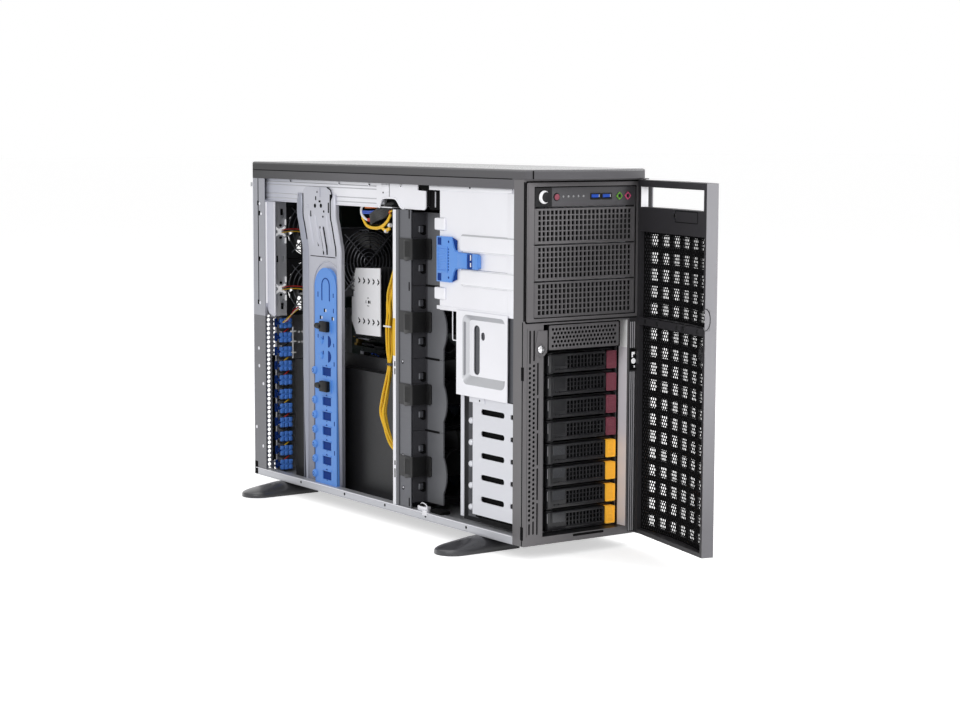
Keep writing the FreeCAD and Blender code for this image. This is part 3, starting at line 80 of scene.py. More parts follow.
class Wire:  # one shader socket, with arithmetic on values
    def __init__(self, tree, socket=None):
        self.tree = tree
        self.socket = socket

    def node(self, kind, settings=None, inlets=None, outlet=0):
        made = self.tree.nodes.new(kind)
        for key, value in (settings or {}).items():
            setattr(made, key, value)
        for key, value in (inlets or {}).items():
            if isinstance(value, Wire):
                self.tree.links.new(value.socket, made.inputs[key])
            elif value is not None:
                made.inputs[key].default_value = value
        return Wire(self.tree, made.outputs[outlet])

    def maths(self, operation, other=0.0, clamp=False):
        return self.node("ShaderNodeMath", {"operation": operation, "use_clamp": clamp},
                         {0: self, 1: other})

    def __add__(self, other):
        return self.maths("ADD", other)

    __radd__ = __add__

    def __mul__(self, other):
        return self.maths("MULTIPLY", other)

    __rmul__ = __mul__

    def __sub__(self, other):
        return self.maths("SUBTRACT", other)

    def __rsub__(self, other):
        return (self * -1.0) + other

    def __gt__(self, other):
        return self.maths("GREATER_THAN", other)

    def __lt__(self, other):
        return self.maths("LESS_THAN", other)

    def either(self, other):
        return self.maths("MAXIMUM", other)

    def mix(self, first, second):  # self is the share of second
        return self.node("ShaderNodeMix", {"data_type": "RGBA"}, {0: self, 6: first, 7: second}, 2)


class Finish:  # a material with its shader at hand
    def __init__(self, name):
        self.material = bpy.data.materials.new(name)
        self.material.use_nodes = True
        self.tree = self.material.node_tree
        self.tree.nodes.clear()
        output = self.tree.nodes.new("ShaderNodeOutputMaterial")
        self.shader = self.tree.nodes.new("ShaderNodeBsdfPrincipled")
        self.tree.links.new(self.shader.outputs[0], output.inputs["Surface"])
        self.wire = Wire(self.tree)
        self.place = self.wire.node("ShaderNodeTexCoord", outlet="Object")

    def noise(self, scale, detail=2.0, stretch=(1, 1, 1)):
        vector = self.wire.node("ShaderNodeVectorMath", {"operation": "MULTIPLY"},
                                {0: self.place, 1: stretch})
        return self.wire.node("ShaderNodeTexNoise", {},
                              {"Vector": vector, "Scale": scale, "Detail": detail})

    def axis(self, letter):  # millimetres along X or Z, or along Y from the rear panel
        along = self.wire.node("ShaderNodeSeparateXYZ", {}, {0: self.place}, letter) * (1 / mm)
        return along - origin.y if letter == "Y" else along

    def inside(self, **limits):  # 1 within the named box, X=(low, high) and so on
        mask = None
        for letter, (low, high) in limits.items():
            along = self.axis(letter)
            part = (along > low) * (along < high)
            mask = part if mask is None else mask * part
        return mask

    def put(self, **values):
        for key, value in values.items():
            inlet = self.shader.inputs[key.replace("_", " ")]
            if isinstance(value, Wire):
                self.tree.links.new(value.socket, inlet)
            else:
                inlet.default_value = value
        return self

    def bump(self, height, depth, strength=0.4):
        bumped = self.wire.node("ShaderNodeBump", {},
                                {"Height": height, "Distance": depth, "Strength": strength})
        return self.put(Normal=bumped)


def shade(colour, share):
    return tuple(level * share for level in colour[:3]) + (1.0,)


def mottled(look, colour, scale=18.0, spread=0.07):  # a colour that drifts a little over the surface
    return look.noise(scale, 3.0).mix(shade(colour, 1 - spread), shade(colour, 1 + spread))


def drift(look, letter, low, high, first, second):  # first at low, second at high
    return (look.axis(letter) - low).maths("MULTIPLY", 1 / (high - low), True).mix(first, second)


def mouldedPlastic(name, colour, roughness=0.45, grain=900.0, coat=0.0, zones=(), gloss=0.4, glow=0.0):
    look = Finish(name)
    fine = look.noise(grain, 2.0)
    tone = mottled(look, colour)
    for limits, other in zones:
        tone = look.inside(**limits).mix(tone, mottled(look, other))
    look.put(Base_Color=tone, Roughness=fine * 0.14 + (roughness - 0.07), Metallic=0.0, Coat_Weight=coat)
    look.put(Specular_IOR_Level=gloss, Coat_Roughness=0.15, Emission_Color=colour, Emission_Strength=glow)
    return look.bump(fine, 0.00006, 0.25).material


def sheetSteel(name, colour, roughness=0.38, stretch=(1, 0.05, 1), metallic=0.7, zones=(), paintedShade=None):
    look = Finish(name)
    streak = look.noise(420.0, 3.0, stretch)
    tone = mottled(look, colour, 12.0, 0.05)
    # painted shade: an optional colour ramp along one axis
    if paintedShade:
        tone = drift(look, *paintedShade, tone)
    rough = streak * 0.16 + (roughness - 0.08)
    metal = None
    for limits, other, coated in zones:
        mask = look.inside(**limits)
        fades = isinstance(other[0], str)
        tone = mask.mix(tone, drift(look, *other) if fades else mottled(look, other, spread=0.06))
        if coated:
            metal = mask if metal is None else metal.either(mask)
    metal = metallic if metal is None else (1 - metal) * metallic
    look.put(Base_Color=tone, Roughness=rough, Metallic=metal)
    return look.bump(streak, 0.00003, 0.2).material


def lampLens(name, colour):
    look = Finish(name)
    look.put(Base_Color=mottled(look, colour, 200.0, 0.05), Roughness=look.noise(300.0) * 0.1 + 0.1)
    return look.put(Coat_Weight=0.6).material


print("finish makers ready")


def spot(axis, u, v, w):  # a point from its place across an axis and its place along it
    return ((w, u, v), (u, w, v), (u, v, w))[axis]


def circle(u, v, radius, sides=16, start=0.0):
    turns = [math.radians(start) + 2 * math.pi * step / sides for step in range(sides)]
    return [(u + radius * math.cos(turn), v + radius * math.sin(turn)) for turn in turns]


def arc(u, v, radius, start, end, step):  # points from start to end, in degrees
    turns = [math.radians(turn) for turn in range(start, end + 1, step)]
    return [(u + radius * math.cos(turn), v + radius * math.sin(turn)) for turn in turns]


def rect(left, low, right, high):
    return [(left, low), (right, low), (right, high), (left, high)]


def roundRect(left, low, right, high, radius, steps=4):
    corners = ((right - radius, high - radius, 0), (left + radius, high - radius, 90),
               (left + radius, low + radius, 180), (right - radius, low + radius, 270))
    points = []
    for u, v, start in corners:
        for step in range(steps + 1):
            angle = math.radians(start + 90 * step / steps)
            points.append((u + radius * math.cos(angle), v + radius * math.sin(angle)))
    return points


def rectHole(wide, tall):
    return rect(-wide / 2, -tall / 2, wide / 2, tall / 2)


def roundHole(radius):
    return circle(0, 0, radius, 8, -90)


def hexHole(radius):
    return circle(0, 0, radius, 6, -90)


def flow(points, steps=6):  # smooth line through a few points
    path = [Vector(point) for point in points]
    path = [path[0] * 2 - path[1]] + path + [path[-1] * 2 - path[-2]]
    line = []
    for before, start, end, after in zip(path, path[1:], path[2:], path[3:]):
        for step in range(steps):
            t = step / steps
            square = (2 * before - 5 * start + 4 * end - after) * t ** 2
            cube = (3 * start - before - 3 * end + after) * t ** 3
            line.append(0.5 * (2 * start + (end - before) * t + square + cube))
    return line + [path[-2]]


class Shape:  # a mesh under way, in millimetres
    def __init__(self):
        self.mesh = bmesh.new()
        self.tint = 0

    def corners(self, points):
        return [self.mesh.verts.new(point) for point in points]

    def faces(self, loops):
        made = [self.mesh.faces.new(loop) for loop in loops]
        for face in made:
            face.material_index = self.tint
        return made

    def skin(self, rings, ends=True, closed=False):  # joins rings of equal count
        rows = [self.corners(ring) for ring in rings]
        loops = []
        for first, second in list(zip(rows, rows[1:])) + ([(rows[-1], rows[0])] if closed else []):
            for a, b, c, d in zip(first, first[1:] + first[:1], second[1:] + second[:1], second):
                loops.append((a, b, c, d))
        if ends and not closed:
            loops += [rows[0][::-1], rows[-1]]
        return self.faces(loops)

    def soften(self, faces, size, steps=2):
        edges = {edge for face in faces for edge in face.edges}
        bmesh.ops.bevel(self.mesh, geom=list(edges), offset=size, segments=steps, profile=0.5,
                        affect="EDGES", clamp_overlap=True, material=-1)

    def slab(self, outline, axis, low, high, soft=0.0, steps=2):
        made = self.skin([[spot(axis, u, v, level) for u, v in outline] for level in (low, high)])
        if soft:
            self.soften(made, soft, steps)

    def box(self, x, y, z, soft=0.0, steps=2):
        self.slab(rect(x[0], y[0], x[1], y[1]), 2, z[0], z[1], soft, steps)

    def sweep(self, points, radius, sides=8, closed=False):
        path = [Vector(point) for point in points]
        rings = []
        side = None
        for index, point in enumerate(path):
            before = path[index - 1] if index or closed else point
            after = path[(index + 1) % len(path)] if index + 1 < len(path) or closed else point
            ahead = (after - before).normalized()
            side = ahead.orthogonal() if side is None else side - ahead * side.dot(ahead)
            side.normalize()
            other = ahead.cross(side)
            rings.append([point + side * u + other * v for u, v in circle(0, 0, radius, sides)])
        self.skin(rings, closed=closed)

    def bead(self, path, wide, rise, across, out):  # raised rib, rounded across and tucked in at its ends
        across, out = Vector(across), Vector(out)
        rings = []
        for index, point in enumerate(path):
            share = 1.0 if 0 < index < len(path) - 1 else 0.3
            rings.append([Vector(point) + across * (wide / 2 * share * math.cos(math.radians(turn)))
                          + out * (rise * share * math.sin(math.radians(turn)))
                          for turn in range(0, 181, 20)])
        self.skin(rings)

    def ring(self, centre, axis, radius, thick, sides=32):
        points = [spot(axis, u, v, centre[axis]) for u, v in
                  circle(*[centre[place] for place in range(3) if place != axis], radius, sides)]
        self.sweep(points, thick, 6, True)

    def turned(self, profile, centre, axis, sides=24):  # profile of (radius, along) pairs about an axis
        across = [centre[place] for place in range(3) if place != axis]
        self.skin([[spot(axis, u, v, centre[axis] + along) for u, v in circle(*across, radius, sides)]
                   for radius, along in profile])

    def disc(self, radius, low, high, centre, axis, sides):
        self.turned([(radius, low), (radius, high)], centre, axis, sides)

    def guard(self, centre, radii, thick, sides, reach, lift=0.0):  # wire rings and two crossed wires
        x, y, z = centre
        for radius in radii:
            self.ring(centre, 1, radius, thick, sides)
        for turn in (45, 135):
            du, dv = reach * math.cos(math.radians(turn)), reach * math.sin(math.radians(turn))
            self.sweep([(x - du, y - lift, z - dv), (x + du, y - lift, z + dv)], 0.9, 6)

    def pierced(self, outline, holes, axis, low, high):  # a flat plate with a few holes of any shape
        loops = [outline] + holes
        triangles = tessellate_polygon([[Vector((u, v, 0)) for u, v in loop] for loop in loops])
        flat = [point for loop in loops for point in loop]
        near, far = (self.corners([spot(axis, u, v, level) for u, v in flat]) for level in (low, high))
        made = [(near[a], near[b], near[c]) for a, b, c in triangles]
        made += [(far[c], far[b], far[a]) for a, b, c in triangles]
        start = 0
        for loop in loops:
            for step in range(len(loop)):
                a, b = start + step, start + (step + 1) % len(loop)
                made.append((near[a], near[b], far[b], far[a]))
            start += len(loop)
        self.faces(made)

    def perforate(self, u, v, columns, rows, hole, margins, axis, low, high, stagger=0.0, bend=None):
        # rows of like holes in a rectangular plate, each hole of 4, 6 or 8 points round its own cell
        stepU = (u[1] - u[0] - margins[0] - margins[1]) / max(1, columns - 1)
        stepV = (v[1] - v[0] - margins[2] - margins[3]) / max(1, rows - 1)
        for row in range(rows):
            midV = v[0] + margins[2] + row * stepV
            base = v[0] if row == 0 else midV - stepV / 2
            top = v[1] if row == rows - 1 else midV + stepV / 2
            shift = stagger * stepU * (row % 2)
            count = columns - (1 if shift else 0)
            for column in range(count):
                midU = u[0] + margins[0] + column * stepU + shift
                left = u[0] if column == 0 else midU - stepU / 2
                right = u[1] if column == count - 1 else midU + stepU / 2
                cell = {4: rect(left, base, right, top),
                        6: [(midU, base), (right, base), (right, top),
                            (midU, top), (left, top), (left, base)],
                        8: [(midU, base), (right, base), (right, midV), (right, top),
                            (midU, top), (left, top), (left, midV), (left, base)]}[len(hole)]
                cut = [(midU + du, midV + dv) for du, dv in hole]
                rings = []
                for loop, level in ((cell, low), (cut, low), (cut, high), (cell, high)):
                    points = [spot(axis, a, b, level) for a, b in loop]
                    rings.append([bend(point) for point in points] if bend else points)
                self.skin(rings, ends=False)
        if not bend:
            rim = rect(u[0], v[0], u[1], v[1])
            self.skin([[spot(axis, a, b, level) for a, b in rim] for level in (low, high)], ends=False)

    def make(self, name, body, looks, hides=(), crease=35, swing=None, start=origin):
        # looks names the finishes, in the order of the tints
        bmesh.ops.remove_doubles(self.mesh, verts=self.mesh.verts, dist=0.002)
        bmesh.ops.recalc_face_normals(self.mesh, faces=self.mesh.faces)
        place = Matrix.Scale(mm, 4) @ Matrix.Translation(start)
        if swing:
            hinge = Vector((swing.hingeX, swing.hingeY, 0))
            turn = Matrix.Rotation(math.radians(swing.angle), 4, "Z")
            place = place @ Matrix.Translation(hinge) @ turn @ Matrix.Translation(-hinge)
        self.mesh.transform(place)
        data = bpy.data.meshes.new(name)
        self.mesh.to_mesh(data)
        self.mesh.free()
        for look in looks.split():
            data.materials.append(finishes[look])
        data.shade_smooth()
        data.set_sharp_from_angle(angle=math.radians(crease))
        piece = bpy.data.objects.new(name, data)
        bpy.context.collection.objects.link(piece)
        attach(piece, body)
        if hides:
            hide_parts(*hides)
        return piece


print("mesh kit ready")

farAway = 1000.0  # further than any piece reaches
fanFace = rear - 404.5
doorSet = Sizes(
    angle=77.0, hingeX=half - 5.5, hingeY=front - 9.0, left=-half + 0.5, right=half - 0.5, edge=16.5,
    bow=9.0, skin=2.8, sheet=0.8, sheetLeft=-83.2, sheetRight=78.2,
    sheets=((24.3, 273.9), (284.5, 386.9)), pitch=4.45, hole=1.95, setback=8.0)

colours = {  # those that several finishes share
    "doorEdge": srgb(140, 139, 143), "black": srgb(24, 24, 26), "fan": srgb(28, 28, 30),
    "cage": srgb(238, 238, 243), "coat": srgb(81, 80, 84), "white": srgb(236, 236, 238),
}


def doorPlastic():  # black inside, silver grey on the edges and the outer face
    look = Finish("doorPlastic")
    fine = look.noise(900.0, 2.0)
    turn = math.radians(doorSet.angle)
    dx = look.axis("X") - doorSet.hingeX
    dy = look.axis("Y") - doorSet.hingeY
    shutX = dx * math.cos(turn) + dy * math.sin(turn) + doorSet.hingeX
    shutY = dy * math.cos(turn) - dx * math.sin(turn) + doorSet.hingeY
    freeEdge = shutX < doorSet.left + 0.2
    face = shutY < front - doorSet.edge - 0.2
    scoop = (shutX < doorSet.left + 8.7) * (shutY > front - 7.7) * (shutY < front - 1.6)
    scoop = scoop * look.inside(Z=(279.8, 308.2))
    border = (shutX < doorSet.sheetLeft).either(shutX > doorSet.sheetRight)
    border = border.either(look.axis("Z") < doorSet.sheets[0][0]).either(look.axis("Z") > 441.0)
    grey = freeEdge.either(face * border).either(scoop)
    lit = (shutX > 76.2) * (shutX < 77.0) * look.inside(Z=(416.0, 441.0))
    # the door's silver grey, with painted shade that darkens it towards the bottom
    silver = drift(look, "Z", 50.0, 215.0, srgb(106, 105, 109),
                   mottled(look, colours["doorEdge"], spread=0.05))
    tone = grey.mix(mottled(look, srgb(46, 45, 48)), silver)
    look.put(Base_Color=lit.mix(tone, mottled(look, srgb(240, 239, 242), spread=0.05)))
    look.put(Roughness=fine * 0.14 + 0.36, Specular_IOR_Level=0.4)
    return look.bump(fine, 0.00006, 0.25).material


def capPlastic():  # satin sides and a polished top
    look = Finish("capGrey")
    fine = look.noise(900.0, 2.0)
    top = look.axis("Z") > capTop - 2.6
    # painted shade: the cap darkens towards the rear
    tone = drift(look, "Y", rear, front, srgb(36, 36, 37), mottled(look, srgb(80, 79, 82)))
    look.put(Base_Color=tone, Roughness=fine * 0.1 + (0.34 - top * 0.12))
    look.put(Coat_Weight=top * 0.9, Coat_Roughness=0.34, Specular_IOR_Level=0.4)
    return look.bump(fine, 0.00004, 0.15).material


finishes = {
    "cap": capPlastic(),
    "bezel": mouldedPlastic("bezelGrey", srgb(106, 104, 106), 0.42, zones=(
        # painted shade: the recess's right wall turns near black deeper in than 16.5 mm
        ({"X": (66.4, 67.6), "Y": (front + 0.4, farAway), "Z": (caseBottom + 9.5, 280.5)},
         srgb(30, 30, 32)),
        ({"X": (66.4, 67.6), "Y": (front + 0.4, front + 16.5), "Z": (caseBottom + 9.5, 280.5)},
         srgb(226, 224, 229)),
        # painted light: the top of that wall is made near white against the shade that falls there
        ({"X": (66.4, 67.6), "Y": (front + 0.4, front + 16.5), "Z": (246.0, 280.5)}, srgb(252, 252, 252)),
        ({"X": (-60.5, 66.4), "Y": (front + 0.4, farAway), "Z": (caseBottom + 9, 280.5)},
         colours["black"]),
        ({"X": (69.6, 88.4), "Y": (-farAway, front + 0.4), "Z": (caseBottom + 2, 283)},
         srgb(54, 53, 55)))),
    "foot": mouldedPlastic("footGrey", srgb(60, 60, 63), 0.3, coat=0.3),
    "door": doorPlastic(),
    "black": mouldedPlastic("blackPlastic", colours["black"], 0.42),
    "knob": mouldedPlastic("knobBlack", srgb(9, 9, 10), 0.5, gloss=0.25),
    "matBlack": mouldedPlastic("matBlack", srgb(12, 12, 13), 0.8, gloss=0.08),
    "fan": mouldedPlastic("fanBlack", colours["fan"], 0.38),
    "tray": mouldedPlastic("trayBlack", srgb(36, 36, 39), 0.36, coat=0.25),
    "label": mouldedPlastic("bareLabel", srgb(66, 67, 71), 0.25, coat=0.5),
    "blue": mouldedPlastic("latchBlue", srgb(94, 150, 228), 0.4),
    # painted shade: blue plastic as it looks in shade, for gaps, hollows and hidden sides
    "deepBlue": mouldedPlastic("shadedBluePlastic", srgb(20, 58, 134), 0.6, gloss=0.12),
    "maroon": mouldedPlastic("tabMaroon", srgb(146, 78, 92), 0.4),
    # painted light: the orange tabs glow a little
    "orange": mouldedPlastic("tabOrange", srgb(255, 190, 60), 0.4, glow=0.24),
    "cage": sheetSteel("cageSteel", colours["cage"], 0.45, metallic=0.35),
    # painted shade: the rail darkens away from the rear panel
    "rail": sheetSteel("railSteel", colours["cage"], 0.45, metallic=0.35,
                       paintedShade=("Y", rear - 60, rear - 250, srgb(186, 188, 199))),
    "side": sheetSteel("sideSteel", srgb(215, 216, 222), 0.45, metallic=0.35),
    "panShade": sheetSteel("panShade", srgb(134, 135, 140), 0.45, metallic=0.35),
    "barShade": sheetSteel("barShade", srgb(152, 155, 167), 0.42, metallic=0.4),
    "doorEdge": mouldedPlastic("doorSilver", colours["doorEdge"], 0.43),
    "smoke": mouldedPlastic("smokePlastic", srgb(20, 20, 21), 0.4),
    # painted light: a white plastic that glows a little, for the cross clips and the door catch marks
    "clipWhite": mouldedPlastic("clipWhite", colours["white"], 0.4, glow=0.45),
    # painted shade: the bar's steel darkens towards its top
    "bar": sheetSteel("barSteel", srgb(194, 195, 204), 0.42, metallic=0.4,
                      paintedShade=("Z", 40.0, 380.0, srgb(118, 120, 132))),
    "board": mouldedPlastic("boardGreen", srgb(20, 31, 27), 0.35),
    "fin": sheetSteel("finMetal", srgb(246, 246, 249), 0.4, metallic=0.0),
    "psu": sheetSteel("psuSteel", srgb(186, 187, 191), 0.4),
    "chrome": sheetSteel("lockChrome", srgb(222, 222, 225), 0.16, metallic=1.0),
    "bright": sheetSteel("brightWire", srgb(205, 206, 210), 0.25, metallic=0.9),
    "cable": mouldedPlastic("cableBlack", srgb(24, 24, 25), 0.5),
    "white": mouldedPlastic("plugWhite", colours["white"], 0.45),
    "yellow": mouldedPlastic("wireYellow", srgb(238, 190, 36), 0.4),
    "red": mouldedPlastic("wireRed", srgb(196, 42, 34), 0.4),
    "wireOrange": mouldedPlastic("wireOrange", srgb(232, 120, 30), 0.4),
    "wireBlue": mouldedPlastic("wireBlue", srgb(40, 84, 190), 0.4),
    "green": mouldedPlastic("jackGreen", srgb(120, 190, 70), 0.4),
    "pink": mouldedPlastic("jackPink", srgb(232, 92, 140), 0.4),
    "lamp": lampLens("lampClear", srgb(150, 151, 153)),
    "clip": mouldedPlastic("clipBlue", srgb(84, 140, 232), 0.4),
    "shade": sheetSteel("shadedSteel", srgb(84, 85, 90), 0.5, metallic=0.3),
    "dark": mouldedPlastic("darkGrey", srgb(44, 44, 46), 0.45),
    "darkSteel": sheetSteel("guardSteel", srgb(104, 105, 110), 0.35, metallic=0.7),
    "gold": sheetSteel("padGold", srgb(206, 172, 96), 0.3, metallic=0.9),
    "case": sheetSteel("caseSteel", srgb(192, 193, 198), 0.42, metallic=0.6, zones=(
        # the roof's edge band is dark paint, with painted shade that darkens it further towards the rear
        ({"X": (-farAway, -half + 1.5), "Z": (caseTop - band - 0.1, farAway)},
         ("Y", rear, rear - 270, srgb(34, 34, 37), srgb(86, 85, 89)), True),
        ({"X": (-farAway, -84.2), "Y": (rear - 60, farAway), "Z": (246, caseTop - band - 0.1)},
         srgb(192, 193, 203), False),
        ({"X": (-farAway, -half + 1.5), "Y": (rear - 33.4, farAway), "Z": (246, caseTop - band - 0.1)},
         srgb(160, 161, 168), False),
        # painted shade: the post is darker below z 246
        ({"X": (-farAway, -84.2), "Y": (rear - 60, farAway), "Z": (caseBottom + 10, 246)},
         srgb(116, 116, 120), False),
        ({"X": (half - 0.2, farAway)}, colours["coat"], True),
        ({"Z": (caseTop - 0.1, farAway)}, colours["coat"], True),
        ({"Z": (-farAway, caseBottom + 0.1)}, colours["coat"], True))),
    "housings": mouldedPlastic("fanFrames", colours["fan"], 0.4, zones=(
        ({"X": (-65.2, -62.8), "Y": (-farAway, fanFace - 4.2)}, srgb(100, 101, 105)),
        ({"X": (-farAway, -55), "Y": (fanFace - 4.3, fanFace + 1.2)}, srgb(58, 58, 62)),
        ({"X": (-70, -50), "Y": (rear - 30, farAway)}, srgb(194, 195, 200)))),
    "wall": sheetSteel("wallSteel", srgb(100, 101, 106), 0.42, metallic=0.5),
    "panel": mouldedPlastic("panelGrey", srgb(84, 83, 86), 0.4, zones=(
        ({"X": (11.1, 41.9), "Z": (426.3, 432.7)}, colours["black"]),)),
    # painted highlights: the light grey of the bezel ridges and the levers' left edges
    "ridge": mouldedPlastic("ridgeGrey", srgb(168, 167, 171), 0.35),
}

looks = {"chassis": "case", "top_cap": "cap", "front_bezel": "bezel", "feet": "foot", "psu_cage": "cage",
         "upper_cage": "cage", "lower_cage": "cage", "circuit_boards": "board", "cpu_coolers": "fin",
         "fan_wall": "wall", "fan_housings": "housings", "slot_covers": "psu", "slot_clips": "blue",
         "control_panel": "panel", "bay_covers": "bezel", "cables": "cable", "air_guide": "black",
         "card_bar": "bar", "card_retainer": "blue", "card_plunger_1": "black", "card_plunger_2": "black",
         "cage_latch": "blue", "door_panel": "door", "door_mesh": "black", "door_lock": "chrome",
         "power_button": "black", "reset_button": "maroon", "psu_module_1": "psu", "psu_module_2": "psu"}
redTabs = 4  # trays with a red tab, counted from the top
for name in nodes:
    if "rotor" in name:
        looks[name] = "fan"
    if name.startswith(("drive_tray", "tray_lever")):
        looks[name] = "tray"
    if name.startswith("tray_release"):
        looks[name] = "maroon" if int(name[-1]) <= redTabs else "orange"
for name, look in looks.items():
    mesh = nodes[name].data
    mesh.materials.clear()
    mesh.materials.append(finishes[look])
print("finishes on", len(looks), "nodes")


def makeDoorSheet(at):  # honeycomb sheet behind the door's lattice
    shape = Shape()
    reach = (at.right - at.left) / 2
    radius = (reach ** 2 + at.bow ** 2) / (2 * at.bow)

    def bowed(point):
        sag = radius - math.sqrt(radius ** 2 - point[0] ** 2)
        return (point[0], point[1] + sag, point[2])

    near = front - at.edge - at.bow + at.skin + at.setback
    for low, high in at.sheets:
        columns = int((at.sheetRight - at.sheetLeft) / at.pitch)
        rows = int((high - low) / (at.pitch * 0.866))
        edge = at.pitch / 2
        shape.perforate((at.sheetLeft, at.sheetRight), (low, high), columns, rows, hexHole(at.hole),
                        (edge, edge, edge, edge), 1, near, near + at.sheet, 0.5, bowed)
    return shape.make("door_honeycomb", "door", "matBlack", ("door_mesh",), swing=at)


makeDoorSheet(doorSet)

coverSet = Sizes(
    left=-74.0, right=78.0, base=288.1, pitch=43.3, gap=1.9, recess=2.2, wall=2.0, depth=10.0,
    columns=23, rows=6, hole=(4.2, 4.8), margins=(8.5, 7.5, 5.6, 4.8), slim=(-53.0, 54.0, 248.6, 279.0),
    slimRecess=0.2, slimColumns=19, slimMargins=(7.0, 6.0, 5.4, 5.4), slimHole=1.85)


def coverShell(shape, x, z, face, at, columns, rows, hole, margins, stagger):
    shape.tint = 0
    shape.perforate(x, z, columns, rows, hole, margins, 1, face, face + at.wall, stagger)
    outer = roundRect(x[0], z[0], x[1], z[1], 0.8, 2)
    inner = roundRect(x[0] + 1.6, z[0] + 1.6, x[1] - 1.6, z[1] - 1.6, 0.8, 2)
    shape.pierced(outer, [inner], 1, face - 0.5, face + at.depth)
    # painted shade: a black sheet behind the holes
    shape.tint = 1
    shape.box((x[0] + 1.7, x[1] - 1.7), (face + 6, face + 6.6), (z[0] + 1.7, z[1] - 1.7))


def makeBayCovers(at):
    shape = Shape()
    for index in range(3):
        low = at.base + index * at.pitch
        coverShell(shape, (at.left + 0.6, at.right - 0.4), (low, low + at.pitch - at.gap),
                   front + at.recess, at, at.columns, at.rows, rectHole(*at.hole), at.margins, 0.0)
    left, right, low, high = at.slim
    coverShell(shape, (left, right), (low, high), front + at.slimRecess, at, at.slimColumns, 5,
               roundHole(at.slimHole), at.slimMargins, 0.5)
    return shape.make("vented_bay_covers", "case", "bezel matBlack", ("bay_covers",))


makeBayCovers(coverSet)

traySet = Sizes(
    count=8, maroon=redTabs, base=27.0, pitch=27.3, face=front + 15.0, left=-41.5, pivot=-37.0,
    right=46.8, thick=9.0, low=1.5, high=24.0, label=-13.0, columns=11, rows=3, hole=(3.3, 4.2),
    tab=(47.2, 61.6), tabLow=2.0, tabHigh=23.5)


def trayBase(number, at):  # tray 1 is the top one
    return at.base + (at.count - number) * at.pitch


def makeLever(number, at):
    shape = Shape()
    base = trayBase(number, at)
    low, high = base + at.low, base + at.high
    face, back = at.face, at.face + at.thick
    nose = at.thick / 2
    plateLow, plateHigh = low + 4.6, high - 3.2
    outline = [(at.label, face), (at.label, back)]
    outline += arc(at.pivot, face + nose, nose, 90, 270, 30)
    shape.slab(outline, 2, low, high, 0.5)
    shape.box((at.label - 1, at.right), (face, back), (plateHigh, high), 0.5)
    shape.box((at.label - 1, at.right), (face, back), (low, plateLow), 0.5)
    shape.box((at.right - 2.4, at.right), (face, back), (low, high), 0.4)
    shape.perforate((at.label - 0.5, at.right - 2), (plateLow - 0.2, plateHigh + 0.2), at.columns,
                    at.rows, rectHole(*at.hole), (3.2, 3.2, 2.4, 2.4), 1, face + 0.7, face + 2.2)
    shape.sweep([(at.pivot + 5, face - 0.1, plateLow - 1), (at.right - 3, face - 0.1, plateLow - 1)],
                0.5, 6)
    # painted shade: a black sheet behind the holes
    shape.tint = 1
    shape.box((at.label - 0.5, at.right - 2.2), (face + 5, face + 5.5), (plateLow - 0.2, plateHigh + 0.2))
    shape.tint = 2  # bare label plate; the light edge beside it is a painted highlight
    labelLow = high - (15 if number <= at.maroon else 13)
    shape.box((at.pivot + 3.5, at.label - 2), (face - 0.3, face + 0.5), (labelLow, high - 1.4), 0.25, 1)
    # painted highlight down the lever's left edge
    shape.tint = 4
    shape.box((at.left + 0.9, at.left + 1.9), (face + 1.2, face + 4), (low + 9, high - 1.5), 0.4)
    shape.tint = 3
    for x in (at.pivot + 6, at.pivot + 12):
        shape.turned([(1.7, 0.4), (1.7, -0.2), (1.2, -0.5), (0.3, -0.6)], (x, face, low + 3.6), 1, 12)
    node = "tray_lever_%d" % number
    plate = "tray" if number <= at.maroon else "label"
    return shape.make("lever_front_%d" % number, node,
                      "tray matBlack " + plate + " black ridge", (node,))


def makeTab(number, at):
    shape = Shape()
    base = trayBase(number, at)
    left, right = at.tab
    low, high = base + at.tabLow, base + at.tabHigh
    face = at.face - 1.0
    shape.pierced(roundRect(left, low, right, high, 1.6),
                  [roundRect(left + 1.5, low + 1.5, right - 1.5, high - 1.5, 1.2)], 1, face, face + 7)
    shape.box((left + 1, right - 1), (face + 0.7, face + 6.5), (low + 1, high - 1), 0.3)
    middle = (left + right) / 2
    shape.box(about(middle, 3), (face + 1, face + 16), (base + 9.75, base + 15.75), 0.3)
    for step in range(3):  # thumb ridges
        shape.box((left + 3.4, right - 3.4), (face + 0.2, face + 1),
                  (low + 6 + step * 4.4, low + 7.2 + step * 4.4), 0.25, 1)
    node = "tray_release_%d" % number
    finish = "maroon" if number <= at.maroon else "orange"
    return shape.make("release_tab_%d" % number, node, finish, (node,))


for number in range(1, traySet.count + 1):
    makeLever(number, traySet)
    makeTab(number, traySet)
print("door sheet, bay covers, levers and tabs made")

footSet = Sizes(
    reach=61.0, radius=23.0, tuck=45.0, height=17.0, places=(front + 90.0, rear - 78.0), edge=2.2,
    steps=22)


